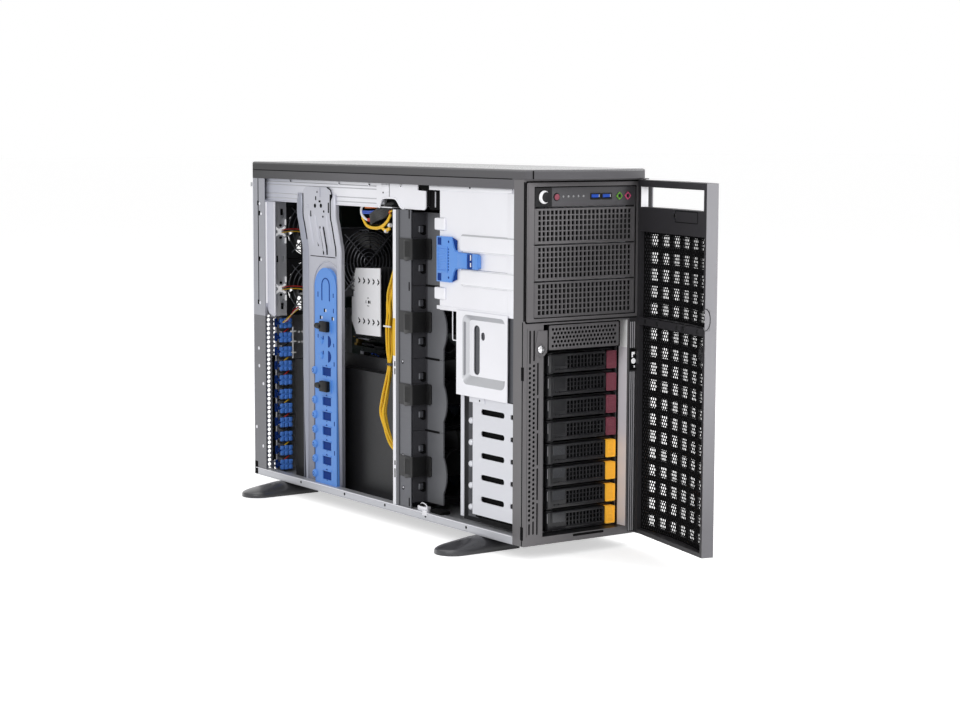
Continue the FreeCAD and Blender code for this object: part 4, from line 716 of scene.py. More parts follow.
def makeFeet(at):  # low domed teardrops that taper towards the case
    shape = Shape()
    tip = half + at.reach
    root = half - at.tuck
    for side in (-1, 1):
        for middle in at.places:
            rings = []
            for step in range(at.steps + 1):
                along = root + (tip - root) * math.sin(step / at.steps * math.pi / 2)
                fromTip = tip - along
                taper = 1 - min(1, fromTip / at.radius)
                broad = max(0.4, at.radius * math.sqrt(max(0.0, 1 - taper ** 2)))
                tall = min(at.height, 5.5 + 11.5 * min(1.0, fromTip / 58) ** 0.75)
                profile = [(-broad, 0), (-broad, at.edge)]
                profile += [(-broad * math.cos(math.radians(turn)),
                             at.edge + (tall - at.edge) * math.sin(math.radians(turn)) ** 0.7)
                            for turn in range(10, 171, 10)]
                profile += [(broad, at.edge), (broad, 0)]
                rings.append([(side * along, middle + across, height) for across, height in profile])
            shape.skin(rings)
    return shape.make("domed_feet", "case", "foot", ("feet",), 50)


makeFeet(footSet)

stripSet = Sizes(
    columns=(-79.5, -73.6), pitch=5.5, low=46.0, high=232.0, slot=-67.9, hole=1.95, left=-83.5,
    right=-65.2, bottom=28.0, top=276.0, lock=(-64.0, 251.0))


def makeVentStrip(at):  # perforated strip beside the trays, with long slots at its ends
    shape = Shape()
    low, high = at.low, at.high
    face, back = front, front + 0.7
    count = int((high - low) / at.pitch)
    between = (at.columns[1] + at.slot) / 2 + 0.4
    centre = sum(at.columns) / 2
    for column, edges, lift in ((at.columns[0], (at.left, centre), 0.0),
                                (at.columns[1], (centre, between), at.pitch / 2)):
        shape.perforate(edges, (low + lift, high + lift), 1, count, roundHole(at.hole),
                        (column - edges[0], edges[1] - column, at.pitch / 2, at.pitch / 2), 1, face, back)
        for bottom, top in ((at.bottom, low + lift), (high + lift, at.top)):
            slot = roundRect(column - 1.25, bottom + 2.5, column + 1.25, top - 2, 1.1, 3)
            shape.pierced(rect(edges[0], bottom, edges[1], top), [slot], 1, face, back)
    runs = 5
    step = (at.lock[1] - 14 - at.bottom) / runs
    cuts = [roundRect(at.slot - 1.2, at.bottom + index * step + 1.6, at.slot + 1.2,
                      at.bottom + (index + 1) * step - 1.6, 0.85, 3) for index in range(runs)]
    shape.pierced(rect(between, at.bottom, at.right, at.top), cuts, 1, face, back)
    # painted shade: a black sheet behind the strip's holes
    shape.tint = 1
    shape.box((at.left + 0.2, at.right - 0.2), (front + 1.1, front + 1.4),
              (at.bottom + 0.2, at.top - 0.2))
    shape.tint = 0
    lockX, lockZ = at.lock  # teardrop boss round the lock post
    drop = arc(lockX, lockZ, 9, 180, 360, 20)
    drop += [(lockX + 9, lockZ + 22), (lockX - 5, lockZ + 22)]
    shape.pierced(drop, [circle(lockX, lockZ, 5.6, 24)], 1, front - 1.0, front - 0.3)
    shape.ring((lockX, front - 0.7, lockZ), 1, 7.4, 0.5)
    shape.tint = 2
    shape.turned([(5.0, 0.6), (5.0, -1.0), (4.6, -1.8), (3.6, -2.6), (2.2, -3.2), (0.6, -3.4)],
                 (lockX, front, lockZ), 1, 28)
    shape.tint = 1  # seam between the side cover and the face, with its two clips
    shape.box((-half - 0.12, -half + 0.4), (front + 1.4, front + 3.2), (caseBottom + 1, 284))
    shape.box((-half - 0.1, -half + 1.4), (front - 0.12, front + 1.1), (285, caseTop - 3))
    for z in (223.0, 33.0):
        shape.box((-half - 0.5, -half + 0.5), (front - 0.3, front + 4.6), about(z, 8), 0.35)
        shape.box((-half - 0.9, -half + 0.5), (front + 0.6, front + 3.4), about(z, 4), 0.35)
    return shape.make("bezel_vent_strip", "case", "bezel matBlack chrome")


makeVentStrip(stripSet)

bezelSet = Sizes(
    face=2.5, recess=(-60.0, 26.4, 67.0, 280.0), bay=(-75.0, 287.1, 79.0, 442.0),
    strip=(-84.0, 28.0, -65.0, 276.0), arm=4.0)


def makeBezel(at):  # moulded front with one recess for the trays and the slim cover
    shape = Shape()
    skin = front + at.face
    outer = roundRect(-half, caseBottom, half, caseTop, 0.9, 2)
    openings = [at.recess, at.bay, at.strip]
    cuts = [roundRect(*opening, 0.5, 1) for opening in openings]
    shape.pierced(outer, cuts, 1, front, skin)
    shape.pierced(outer, [roundRect(-half + 2.2, caseBottom + 2.2, half - 2.2, caseTop - 2.2, 0.5, 1)],
                  1, skin, front + bezelDepth)
    for (left, low, right, high), cut in zip(openings, cuts):
        shape.pierced(roundRect(left - 2, low - 2, right + 2, high + 2, 0.5, 1), [cut], 1, skin,
                      front + bezelDepth)
    hingeX, hingeY = doorSet.hingeX, doorSet.hingeY
    for low, high in ((caseBottom, caseBottom + 1.4), (caseTop - 1.4, caseTop)):
        shape.box(about(hingeX, at.arm), (hingeY - at.arm, front + 0.2), (low, high), 0.3)
    for low in (caseBottom, caseTop - 10):
        shape.disc(1.9, 0, 10, (hingeX, hingeY, low), 2, 16)
    return shape.make("bezel_shell", "case", "bezel", ("front_bezel",))


makeBezel(bezelSet)

trimSet = Sizes(
    module=(-85.6, 283.6, 84.0, 446.6), bay=(-75.0, 287.2, 79.0, 442.0), proud=0.6,
    ridges=(71.6, 74.6, 77.6), ridgeWide=1.3, ridgeRuns=((20.0, 216.0), (245.0, 277.0)),
    catch=(76.0, 231.0))


def makeBezelTrim(at):  # raised frame of the upper module, ridges and door catch
    shape = Shape()
    left, low, right, high = at.module
    shape.pierced(roundRect(left, low, right, high, 2.0), [roundRect(*at.bay, 1.0)],
                  1, front - at.proud, front + 0.2)
    shape.pierced(roundRect(left + 1.6, low + 1.6, right - 1.6, high - 1.6, 1.5),
                  [roundRect(left + 3.4, low + 3.0, right - 3.4, high - 3.4, 1.0)],
                  1, front - at.proud - 0.4, front - at.proud + 0.1)
    # painted highlights: the ridges are coloured light grey
    shape.tint = 3
    for x in at.ridges:
        for low, high in at.ridgeRuns:
            shape.box(about(x, at.ridgeWide / 2), (front - 1.0, front + 0.3), (low, high), 0.5)
    x, z = at.catch
    shape.tint = 1
    left, low, right, high = at.module  # dark gaps round the module and its covers
    shape.pierced(roundRect(left - 1.8, low - 1.8, right + 1.8, high + 1.8, 2.4),
                  [roundRect(left, low, right, high, 2.0)], 1, front - 0.1, front + 0.3)
    left, low, right, high = at.bay
    shape.pierced(roundRect(left, low, right, high, 1.0),
                  [roundRect(left + 1.3, low + 1.0, right - 1.2, high - 1.2, 1.0)],
                  1, front + 0.6, front + 0.9)
    shape.slab(roundRect(-14.0, 22.2, 33.0, 25.2, 1.4, 3), 1, front - 0.12, front + 0.3)
    shape.box(about(x, 4.6), (front - 0.9, front + 0.2), about(z, 13), 0.4)
    shape.box((-82.0, -80.8), (front - 7.4, front - 3.0), (451.0, 460.6))  # corner seam of the cap
    slimLeft, slimRight, slimLow, slimHigh = coverSet.slim
    shape.pierced(roundRect(slimLeft - 1.0, slimLow - 0.4, slimRight + 1.0, slimHigh + 0.6, 2.0, 3),
                  [roundRect(slimLeft + 0.5, slimLow + 0.7, slimRight - 0.5, slimHigh - 0.5, 2.0, 3)],
                  1, front - 0.5, front + 0.2)
    # painted light: glowing white marks on the door catch
    shape.tint = 2
    shape.box((x - 2.8, x + 2.0), (front - 1.1, front - 0.7), (z + 6.0, z + 9.0), 0.15, 1)
    shape.box((x - 2.8, x - 0.8), (front - 1.1, front - 0.7), (z + 2.6, z + 6.6), 0.15, 1)
    shape.turned([(3.4, 0.3), (3.4, -0.2), (2.4, -0.35), (0.4, -0.4)], (x, front - 0.8, z - 2.0), 1, 18)
    shape.box((x + 0.6, x + 2.4), (front - 1.1, front - 0.7), (z - 10.0, z - 7.6), 0.15, 1)
    return shape.make("bezel_trim", "case", "bezel matBlack clipWhite ridge")


makeBezelTrim(trimSet)

panelSet = Sizes(
    face=front + 3.0, z=429.5, power=-59.0, reset=-40.0,
    lamps=[-30.0 + 7.5 * step for step in range(5)], usb=(18.0, 35.0), audio=(54.0, 67.0))


def makePanelFittings(at):
    shape = Shape()
    face, z = at.face, at.z
    x = at.power
    shape.pierced(roundRect(x - 13, z - 11.2, x + 11.5, z + 11.2, 1.2), [circle(x, z, 8.6, 32)],
                  1, face - 0.8, face + 0.2)
    shape.ring((at.reset, face - 0.2, z), 1, 4.2, 0.5, 20)
    for x in at.usb:
        shape.pierced(roundRect(x - 7.6, z - 3.9, x + 7.6, z + 3.9, 0.6),
                      [roundRect(x - 6.3, z - 2.6, x + 6.3, z + 2.6, 0.3)], 1, face - 0.7, face + 0.1)
    shape.tint = 2
    for x in at.usb:
        shape.box((x - 5.8, x + 5.0), (face - 0.2, face + 7.5), (z - 1.6, z + 2.4), 0.2, 1)
    shape.tint = 1
    for x in at.usb:
        shape.box((x + 5.2, x + 6.2), (face - 0.3, face + 5), (z - 1.4, z + 2.2), 0.2, 1)
    shape.tint = 3
    for x in at.lamps:
        shape.turned([(1.5, 0.3), (1.5, -0.3), (1.0, -0.8), (0.3, -0.95)], (x, face, z + 0.5), 1, 12)
    for index, x in enumerate(at.audio):
        shape.tint = 4 + index
        diamond = circle(x, z, 4.8, 4)
        shape.pierced(diamond, [circle(x, z, 3.0, 20)], 1, face - 1.2, face + 0.1)
        shape.ring((x, face - 1.2, z), 1, 3.2, 0.6, 20)
        shape.tint = 0
        shape.turned([(2.6, 3), (2.6, 0.4), (2.2, 0.2)], (x, face, z), 1, 16)
    return shape.make("panel_fittings", "case", "black bright wireBlue lamp green pink")


def makePowerFace(at):  # domed face of the power button
    shape = Shape()
    place = (at.power, at.face - 1.2, at.z)
    # painted highlight: a white dome, mostly covered by the black dome laid over it, leaving a crescent
    shape.turned([(7.8, 0.3), (7.8, -0.4), (7.0, -1.0), (5.0, -1.5), (2.5, -1.8), (0.5, -1.9)],
                 place, 1, 32)
    shape.tint = 1
    shape.turned([(6.0, 0.3), (6.0, -1.9), (5.2, -2.1), (0.5, -2.2)],
                 (place[0] + 1.9, place[1], place[2]), 1, 28)
    return shape.make("power_face", "power_button", "white black")


makePanelFittings(panelSet)
makePowerFace(panelSet)
print("feet, bezel trim and control panel made")

caseSet = Sizes(
    rail=27.0, railWide=12.0, post=-33.0, flange=-58.0, flangeLow=246.0, fanX=-10.0, fanHole=38.0,
    fans=(365.2, 284.2), io=(32.0, 250.7, 72.0, 398.7), slots=(-48.0, 66.0), slotTall=15.0,
    psuLeft=-82.6, psuLow=408.9, vents=((-71.0, -60.8, 2.75), (-60.8, -51.0, 2.4)),
    marks=((-14.8, 403.9), (-18.9, 389.9), (-18.4, 325.5), (-14.5, 264.4)),
    screws=((-14.2, 198.7), (-15.0, 173.6), (-6.5, 85.3), (-26.4, 149.1), (-24.7, 59.6)),
    railScrews=(-130.0, -245.0, -345.0, -440.0, -530.0), switch=-437.0,
    frontOpenings=((-75, 287.1, 79, 442), (-60, 27.5, 67, 283)))


def sidePanels(shape, at):  # floor, far side, roof and the frame round the open side
    wallFront, inside = front + bezelDepth, rear - sheet
    left = (-half, -half + sheet)
    shape.box((-half, half), (wallFront, rear), (caseBottom, floorTop))
    shape.box((half - sheet, half), (wallFront, rear), (floorTop, roofBottom))
    shape.box((-half, half), (wallFront, rear), (roofBottom, caseTop))
    shape.box(left, (wallFront, rear), (caseTop - band, roofBottom))
    shape.box(left, (wallFront, rear), (floorTop, at.rail), 0.3, 1)
    shape.box((-half + sheet, -half + at.railWide), (wallFront, inside), (at.rail - sheet, at.rail))
    shape.box((-half + at.railWide - sheet, -half + at.railWide), (wallFront, inside),
              (floorTop, at.rail - sheet))
    post = at.post
    shape.box(left, (post, rear), (at.rail + 0.1, caseTop - band - 0.1), 0.3, 1)
    shape.box((-half + sheet, -half + 3 + sheet), (post, post + sheet), (at.flangeLow, at.psuLow))
    low, high = at.flangeLow, at.psuLow - 2
    flange = at.flange
    shape.slab([(post + sheet, low + 16), (post - 6, low + 4), (flange + 4, low), (flange, low + 3),
                (flange, high), (post + sheet, high)], 0, -half + 3, -half + 3 + sheet)


def rearPanel(shape, at):
    y = (rear - sheet, rear)
    low, high = floorTop, at.psuLow
    slotLeft, slotRight = at.slots
    holes = [circle(at.fanX, z, at.fanHole, 40) for z in at.fans]
    holes.append(rect(*at.io))
    for index in range(slots.count):
        z = slots.first + index * slots.pitch
        holes.append(roundRect(slotLeft, z - at.slotTall / 2, slotRight, z + at.slotTall / 2, 2.0, 2))
    edge = at.vents[-1][1]
    shape.pierced(rect(edge, low, half - sheet, high), holes, 1, *y)
    ventTop = at.flangeLow
    for first, last, radius in at.vents:
        middle = (first + last) / 2
        shape.perforate((first, last), (low, ventTop), 1, 36, roundHole(radius),
                        (middle - first, last - middle, 4, 3), 1, *y)
    first = at.vents[0][0]
    shape.box((first, edge), y, (ventTop, high))
    shape.box((-half + at.railWide, first), y, (low, high))
    shape.box((-half + sheet, -half + at.railWide), y, (at.rail, high))
    shape.box((-half + sheet, at.psuLeft), y, (high, roofBottom))


def makeCase(at):
    shape = Shape()
    sidePanels(shape, at)
    rearPanel(shape, at)
    wallFront = front + bezelDepth
    shape.pierced(rect(-half + sheet, at.rail, half - sheet, roofBottom),
                  [rect(*opening) for opening in at.frontOpenings], 1, wallFront, wallFront + sheet)
    for y in (-16.0, -355.0):  # stands of the board
        for z in (floorTop + 20, 391.7):
            shape.disc(3.5, 0, 13.8, (half - 15, y, z), 0, 12)
    clipX, clipY = slots.pivot
    shape.disc(1.2, 0, 230, (clipX, clipY, floorTop), 2, 10)
    for z in (floorTop, 241.2):
        shape.box(about(clipX, 3.6), (clipY - 3.6, rear - sheet), (z, z + 3))
    switch = at.switch
    shape.tint = 2
    shape.box((-half + 3.2, -half + 10.2), (switch, switch + 20), (at.rail, at.rail + 6), 0.6)
    shape.box((-half - 0.6, -half + 4), (switch - 6, switch + 4), (at.rail - 4, at.rail + 3), 0.6)
    shape.sweep(flow([(-half + 6, switch + 18, at.rail + 5), (-half + 5, switch + 12, at.rail + 10),
                      (-half + 5, switch + 2, at.rail + 8), (-half + 2, switch - 4, at.rail + 3)]), 0.8)
    shape.tint = 1
    shape.box((-half + 3, -half + 10), (switch + 6, switch + 15), (at.rail + 5.8, at.rail + 8.5), 0.5)
    shape.box((-half + 6, -half + 20), (switch - 30, switch - 4), (at.rail - 0.5, at.rail + 4), 0.8)
    shape.box((-half - 0.1, -half + 0.5), (-16.2, -14.2), (268, caseTop - 12))  # groove down the post
    # seam below the cap
    shape.box((-half - 0.15, -half + 0.5), (front + 24, rear - 0.4), (caseTop - 0.6, caseTop + 0.5))
    # painted shade: a black strip behind the second column of rear vents
    shape.box((-60.6, -53.4), (rear - 2.2, rear - 1.6), (34, 186))
    shape.box((-half - 0.3, -half + 1), (-9, -0.2), (17.6, 36), 0.3)
    for y, z in at.marks:
        shape.box((-half - 0.1, -half + 0.5), about(y, 2.4), about(z, 3.4), 0.2, 1)
    for y in at.railScrews:
        shape.disc(1.9, 0.5, -0.15, (-half, y, 22.6), 0, 12)
    shape.tint = 2
    for y, z in at.marks:
        shape.turned([(2.1, 0.6), (2.1, -0.3), (1.4, -0.8), (0.3, -0.9)], (-half, y - 4.6, z - 0.8), 0, 12)
    for y, z in at.screws:
        shape.turned([(2.4, 0.6), (2.4, -0.2), (1.6, -0.6), (0.3, -0.7)], (-half, y, z), 0, 12)
    for y, low, thick in ((-34.2, 264.0, 1.5), (-57.2, 252.0, 0.8)):  # painted highlights along the flange's folds
        shape.sweep([(-half + 2.4, y, low), (-half + 2.4, y, at.psuLow - 3)], thick, 6)
    # painted highlights down the post's rear edge and along the rail's top edge
    shape.sweep([(-half - 0.1, -0.8, 20), (-half - 0.1, -0.8, caseTop - 12)], 0.5, 6)
    shape.sweep([(-half - 0.2, front + 24, at.rail - 0.5), (-half - 0.2, -3, at.rail - 0.5)],
                0.6, 6)
    return shape.make("case_sheets", "case", "case matBlack cage", ("chassis",))


makeCase(caseSet)

psuSet = Sizes(
    left=-83.8, floor=407.7, far=half - sheet, ribs=(434.6, 430.6, 418.6, 412.6),
    screws=(-97.0, -225.0, -300.0),
    side=[(-1.2, 407.7), (-326, 407.7), (-327, 410), (-329.5, 415), (-333, 418.8), (-338.7, 420.4),
        (-349, 420.8), (-349, 449.3), (-1.2, 449.3)],
    bracket=[(-349.8, 420.8), (-360, 420.7), (-366, 419.3), (-371, 415.5), (-376, 410.5), (-380, 408.3),
        (-386, 407.7), (-430, 407.7), (-433.4, 410.5), (-433.4, 431.5), (-415.3, 431.9),
        (-415.3, 449.3), (-349.8, 449.3)])


def makePsuCage(at):
    shape = Shape()
    left, floor = at.left, at.floor
    for outline, shift in ((at.side, 0.0), (at.bracket, -0.5)):
        shape.slab(outline, 0, left + shift, left + sheet)
    shape.box((left + 0.5, at.far), (-354, rear - sheet), (floor, floor + sheet))
    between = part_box("psu_module_2")[0].x / mm - 1.8
    shape.box((between, between + sheet), (-354, rear - sheet), (floor, roofBottom))
    shape.box((left, 36.2), (-441, -357), (roofBottom - sheet, roofBottom))
    rim = [(left - 0.7, y, z) for y, z in at.side[1:7] + at.bracket[:7]]
    shape.sweep(flow(rim, 3), 1.5)
    shape.sweep([(left - 0.3, -2, floor + 0.6), (left - 0.3, -325, floor + 0.6)], 1.0, 6)
    # painted shade: grey lines along the ribs
    shape.tint = 2
    for z in at.ribs:
        shape.sweep([(left, -6, z), (left, -318, z)], 0.7, 6)
    shape.tint = 0
    shape.box((left - 1.1, left), (-349, -331), (428, 437.6), 0.4)
    for y in at.screws:
        shape.turned([(2.4, 0.2), (2.4, -0.7), (1.5, -1.2), (0.3, -1.3)], (left, y, 437.2), 0, 14)
    shape.turned([(2.9, 0.2), (2.9, -1.0), (1.8, -1.6), (0.3, -1.7)], (left, -376.2, 436.4), 0, 16)
    shape.tint = 1
    shape.box((left - 0.62, left - 0.1), (-349.9, -349.0), (421, 439))
    shape.disc(1.0, 0, -1.72, (left, -377.5, 436.0), 0, 8)
    for y in at.screws:
        shape.disc(0.9, 0, -1.35, (left, y - 1.6, 436.6), 0, 8)
    shape.disc(1.2, 0, -0.25, (left, -334, 427), 0, 10)
    shape.box((left + 3, 36), (-438, -375), (413.9, 447.9), 0.8)
    # painted shade: a black block fills the empty gap above the bracket
    shape.box((left + 2, -50), (-452, -416), (432.6, 440.4))
    shape.box((left + 4, -50), (-457, -435), (408.5, 432), 0.6)
    shape.box((left + 6, -40), (-372, -332), (409.2, 440))
    shape.tint = 2
    shape.box((left + 3.4, left + 5), (-450, -447.6), (411.5, 431), 0.3)
    return shape.make("psu_cage_sheets", "case", "rail matBlack psu", ("psu_cage",))


makePsuCage(psuSet)
print("case and power supply cage made")

upperSet = Sizes(
    x=-83.0, bands=((359.2, 381.2), (318.0, 339.4)), start=-508.0, end=-625.0, knuckles=(391.8, 306.2),
    knuckle=(-454.0, -477.0, 7.4))


def makeUpperCageFace(at):  # raised bands, rolled knuckles and the folded edge of the upper cage
    shape = Shape()
    x, base = at.x, origin.y  # drawn in the frame's own places
    for low, high in at.bands:
        rings = []
        for inset, lift in ((0.0, 0.1), (2.0, -2.6), (3.0, -3.1), (4.0, -3.2)):
            outline = roundRect(base + at.end, low + inset, base + at.start - inset, high - inset,
                                5.0 - inset * 0.6, 4)
            rings.append([(x + lift, y, z) for y, z in outline])
        shape.tint = 2  # painted shade: the slopes of a band are greyer than its face
        shape.skin(rings[:2], ends=False)
        shape.tint = 0
        shape.skin(rings[1:])
    rearEnd, frontEnd = base + at.knuckle[0], base + at.knuckle[1]
    radius = at.knuckle[2]
    for z in at.knuckles:
        shape.tint = 0
        shape.box((x - 2.6, x + 0.4), (frontEnd, rearEnd), about(z, radius), 2.4, 4)
        # painted shade: grey lines along the knuckles' upper and lower edges
        shape.tint = 2
        for lift in (radius - 0.4, 0.4 - radius):
            shape.sweep([(x - 0.6, rearEnd - 4, z + lift), (x - 0.6, frontEnd + 5, z + lift)], 0.9, 6)
    shape.tint = 0
    shape.box((x - 1.6, x - 0.1), (base - 616, base - 441), (433.2, 438.9), 0.5)
    shape.box((x - 0.8, x - 0.1), (base - 625, base - 606.4), (290.5, 433), 0.4)
    shape.box((x - 0.7, x - 0.1), (base - 625, base - 457), (286.4, 291.0), 0.4)
    shape.tint = 1
    shape.disc(1.5, 0, -1.75, (x, base - 529.7, 438), 0, 10)
    return shape.make("upper_cage_face", "case", "cage matBlack psu", start=Vector())


makeUpperCageFace(upperSet)

latchSet = Sizes(
    face=-87.7, back=-83.2, z=349.1, corner=((-492, 27), (-498, 16), (-501.6, 12), (-501.6, 24)),
    outline=[(-462, -28), (-462, 28), (-492, 28), (-495.4, 24), (-498.6, 16.5), (-503, 9.4), (-548, 9.4),
        (-552, 7), (-552, -7), (-548, -9.2), (-503, -9.2), (-498.6, -16.5), (-495.4, -24), (-492, -28)])


def makeLatch(at):
    shape = Shape()
    face, z = at.face, at.z
    shape.slab([(y, z + lift) for y, lift in at.outline], 0, face, at.back, 0.7)
    shape.pierced(rect(-464, z - 16, -487, z + 16), [rect(-466, z - 14, -485, z + 14)],
                  0, face - 0.7, face + 0.2)
    for step in range(7):
        low = z - 12.8 + step * 4
        shape.box((face - 0.6, face + 0.2), (-485, -466), (low, low + 1.8), 0.3, 1)
    shape.box((face - 0.6, face + 0.2), (-528, -508), about(z, 8.4), 0.4)
    shape.box((face - 1.3, face + 0.2), (-551.6, -541), about(z, 9.2), 0.6)
    # painted shade in dark blue: patches, slots and the wings beside the neck
    shape.tint = 1
    for lift in (22.0, -22.0):
        shape.box((face - 0.15, face + 0.3), (-473, -465), (z + lift - 4.6, z + lift + 4.6))
        shape.disc(1.5, 0.3, -0.2, (face, -489, z + lift), 0, 10)
    for step in range(8):
        low = z - 13.4 + step * 3.6
        shape.box((face - 0.2, face + 0.3), (-489.5, -487.8), (low, low + 1.8))
    shape.box((face - 0.2, face + 0.3), (-540, -529), about(z, 9))
    for side in (1, -1):
        shape.slab([(y, z + side * lift) for y, lift in at.corner], 0, face + 2.6, at.back)
    shape.tint = 2
    for low, high in ((-6.5, -1.5), (1.5, 8)):
        shape.box((face - 0.35, face + 0.3), (-537.6, -535.4), (z + low, z + high))
    return shape.make("latch_detail", "cage_latch", "blue deepBlue white", ("cage_latch",))


makeLatch(latchSet)

lowerSet = Sizes(
    x=-83.0, inner=-42.4, outer=64.4, low=24.4, top=246.8, start=front + 21.8,
    slots=[167.9 - 26.8 * step for step in range(5)], slot=(-601.0, -552.8, 3.5),
    pegs=[154.5 - 26.7 * step for step in range(5)], plate=(-609.5, 184.6, -503.0, 288.3),
    pan=(-605.0, 198.6, -516.0, 284.0), panFloor=(-599.0, 209.0, -523.0, 277.6),
    hoop=((-502, 287), (-491, 287), (-490, 285), (-490, 252), (-491, 250), (-502, 250)),
    slope=((1.0, -517.1), (4.6, -521.4), (5.0, -521.8), (1.4, -517.5)),
    scallop=((-625, -4.5), (-613.5, -2.5), (-613.5, 2.5), (-625, 4.5)))


def makeLowerCage(at):
    shape = Shape()
    inner, outer, low, top = at.inner, at.outer, at.low, at.top
    y = (at.start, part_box("lower_cage")[1].y / mm - origin.y)
    shape.tint = 3  # painted shade: the drive box behind the side plate is coloured dark grey
    for z in (low, top):
        shape.box((inner, outer), y, (z, z + sheet))
    for wall, ledge in (((inner - sheet, inner), (inner, inner + 2.2)),
                        ((outer, outer + sheet), (outer - 2.2, outer))):
        shape.box(wall, y, (floorTop, top + sheet))
        for number in range(traySet.count, 0, -1):
            base = trayBase(number, traySet)
            shape.box(ledge, (at.start + 8, y[1]), (base - 1.4, base - 0.2))
    x = at.x
    for sides, bottom in (((outer + sheet, 75), low), ((x + sheet, inner - sheet), low + 2.6)):
        shape.box(sides, (at.start, at.start + sheet), (bottom, 284))
    end, start, tall = at.slot
    cuts = [roundRect(end, z - tall, start, z + tall, 3.4, 5) for z in at.slots]
    edge = [(-625, 40)]
    for z in at.slots[::-1]:  # small scallops along the front edge
        edge += [(a, z + lift) for a, lift in at.scallop]
    edge += [(-625, 184), (-535, 184), (-535, 40)]
    shape.tint = 5
    shape.pierced(edge, cuts, 0, x, x + sheet)
    shape.box((x - 0.2, x + 1.2), (-516.4, -509.4), (34, 186), 0.4)
    shape.box((x - 1.2, x + 0.2), (-561, -529), (177.6, 184.4), 0.5)
    for z in at.pegs:
        shape.turned([(3.9, 8), (3.9, -0.4), (3.2, -1.4), (1.6, -2.0), (0.3, -2.1)],
                     (x + 0.6, -530.5, z), 0, 18)
    shape.tint = 1
    shape.box((x + 7.6, x + 8.4), (-536, -515.6), (34, 184))
    # painted shade: a black sheet behind the slots
    shape.tint = 2
    shape.box((x + 4.2, x + 5.0), (-625, -536), (36, 184))
    shape.disc(1.3, 0.4, -1.3, (x, -551, 181), 0, 10)
    shape.tint = 0
    face = x - 2.6
    left, bottom, right, upper = at.plate
    pan = roundRect(*at.pan, 9.0, 5)
    panFloor = roundRect(*at.panFloor, 5.0, 5)
    shape.pierced(rect(left, bottom, right, upper), [pan], 0, face, face + sheet)
    shape.tint = 4  # pressed slope round the pan, coloured grey as painted shade
    rings = [[(face, *point) for point in pan]]
    for drop, share in ((1.0, 0.12), (5.0, 0.88)):
        rings.append([(face + drop, a + (c - a) * share, b + (d - b) * share)
                      for (a, b), (c, d) in zip(pan, panFloor)])
    shape.skin(rings + [[(face + 6.0, *point) for point in panFloor]], ends=False)
    shape.tint = 0
    slot = roundRect(-544.4, 211.2, -532.0, 271.6, 5.4, 5)
    hole = roundRect(-555.0, 254.0, -547.0, 264.0, 3.8, 5)
    shape.pierced(panFloor, [slot, hole], 0, face + 6.0, face + 7.0)
    shape.tint = 6  # the rear slope of the pan lies in shade
    heights = (209.0, 216.0, 245.0, 270.0, 275.0)
    shape.skin([[(face + drop, a, z) for drop, a in at.slope] for z in heights])
    shape.tint = 0
    shape.sweep([(x + 1, a, z) for a, z in at.hoop], 0.8, 6)
    # painted shade: dark strips set back in the gaps round the pan plate
    shape.tint = 1
    shape.box((x + 5.5, x + 6.2), (-612, -497), (186, 287))
    shape.box((x + 1.2, x + 2), (-625, -609), (185, 288))
    return shape.make("lower_cage_sheets", "case",
                      "cage shade matBlack dark psu side panShade", ("lower_cage",))


makeLowerCage(lowerSet)
print("drive cages made")

wallSet = Sizes(
    x=-88.2, flange=-87.0, strap=(-371.0, -364.4),
    slots=((-369.2, 206.4, 213.0), (-369.2, 196.0, 203.6), (-369.2, 78.6, 84.6), (-369.2, 62.6, 74.0)),
    rivets=((-384.6, 213.4), (-385.1, 92.6), (-385.8, 51.2)), label=(219.8, 267.9),
    hooks=(381.6, 332.3, 287.9, 239.5, 194.8, 146.0, 102.2, 53.1), slits=(126.4, 218.9, 311.4),
    fans=[80.2 + 92.5 * step for step in range(4)],
    tongue=((-409, -13.2), (-409, 13.2), (-393, 12.6), (-390, 11), (-390, -14), (-393, -15.4),
            (-399, -13.6)))


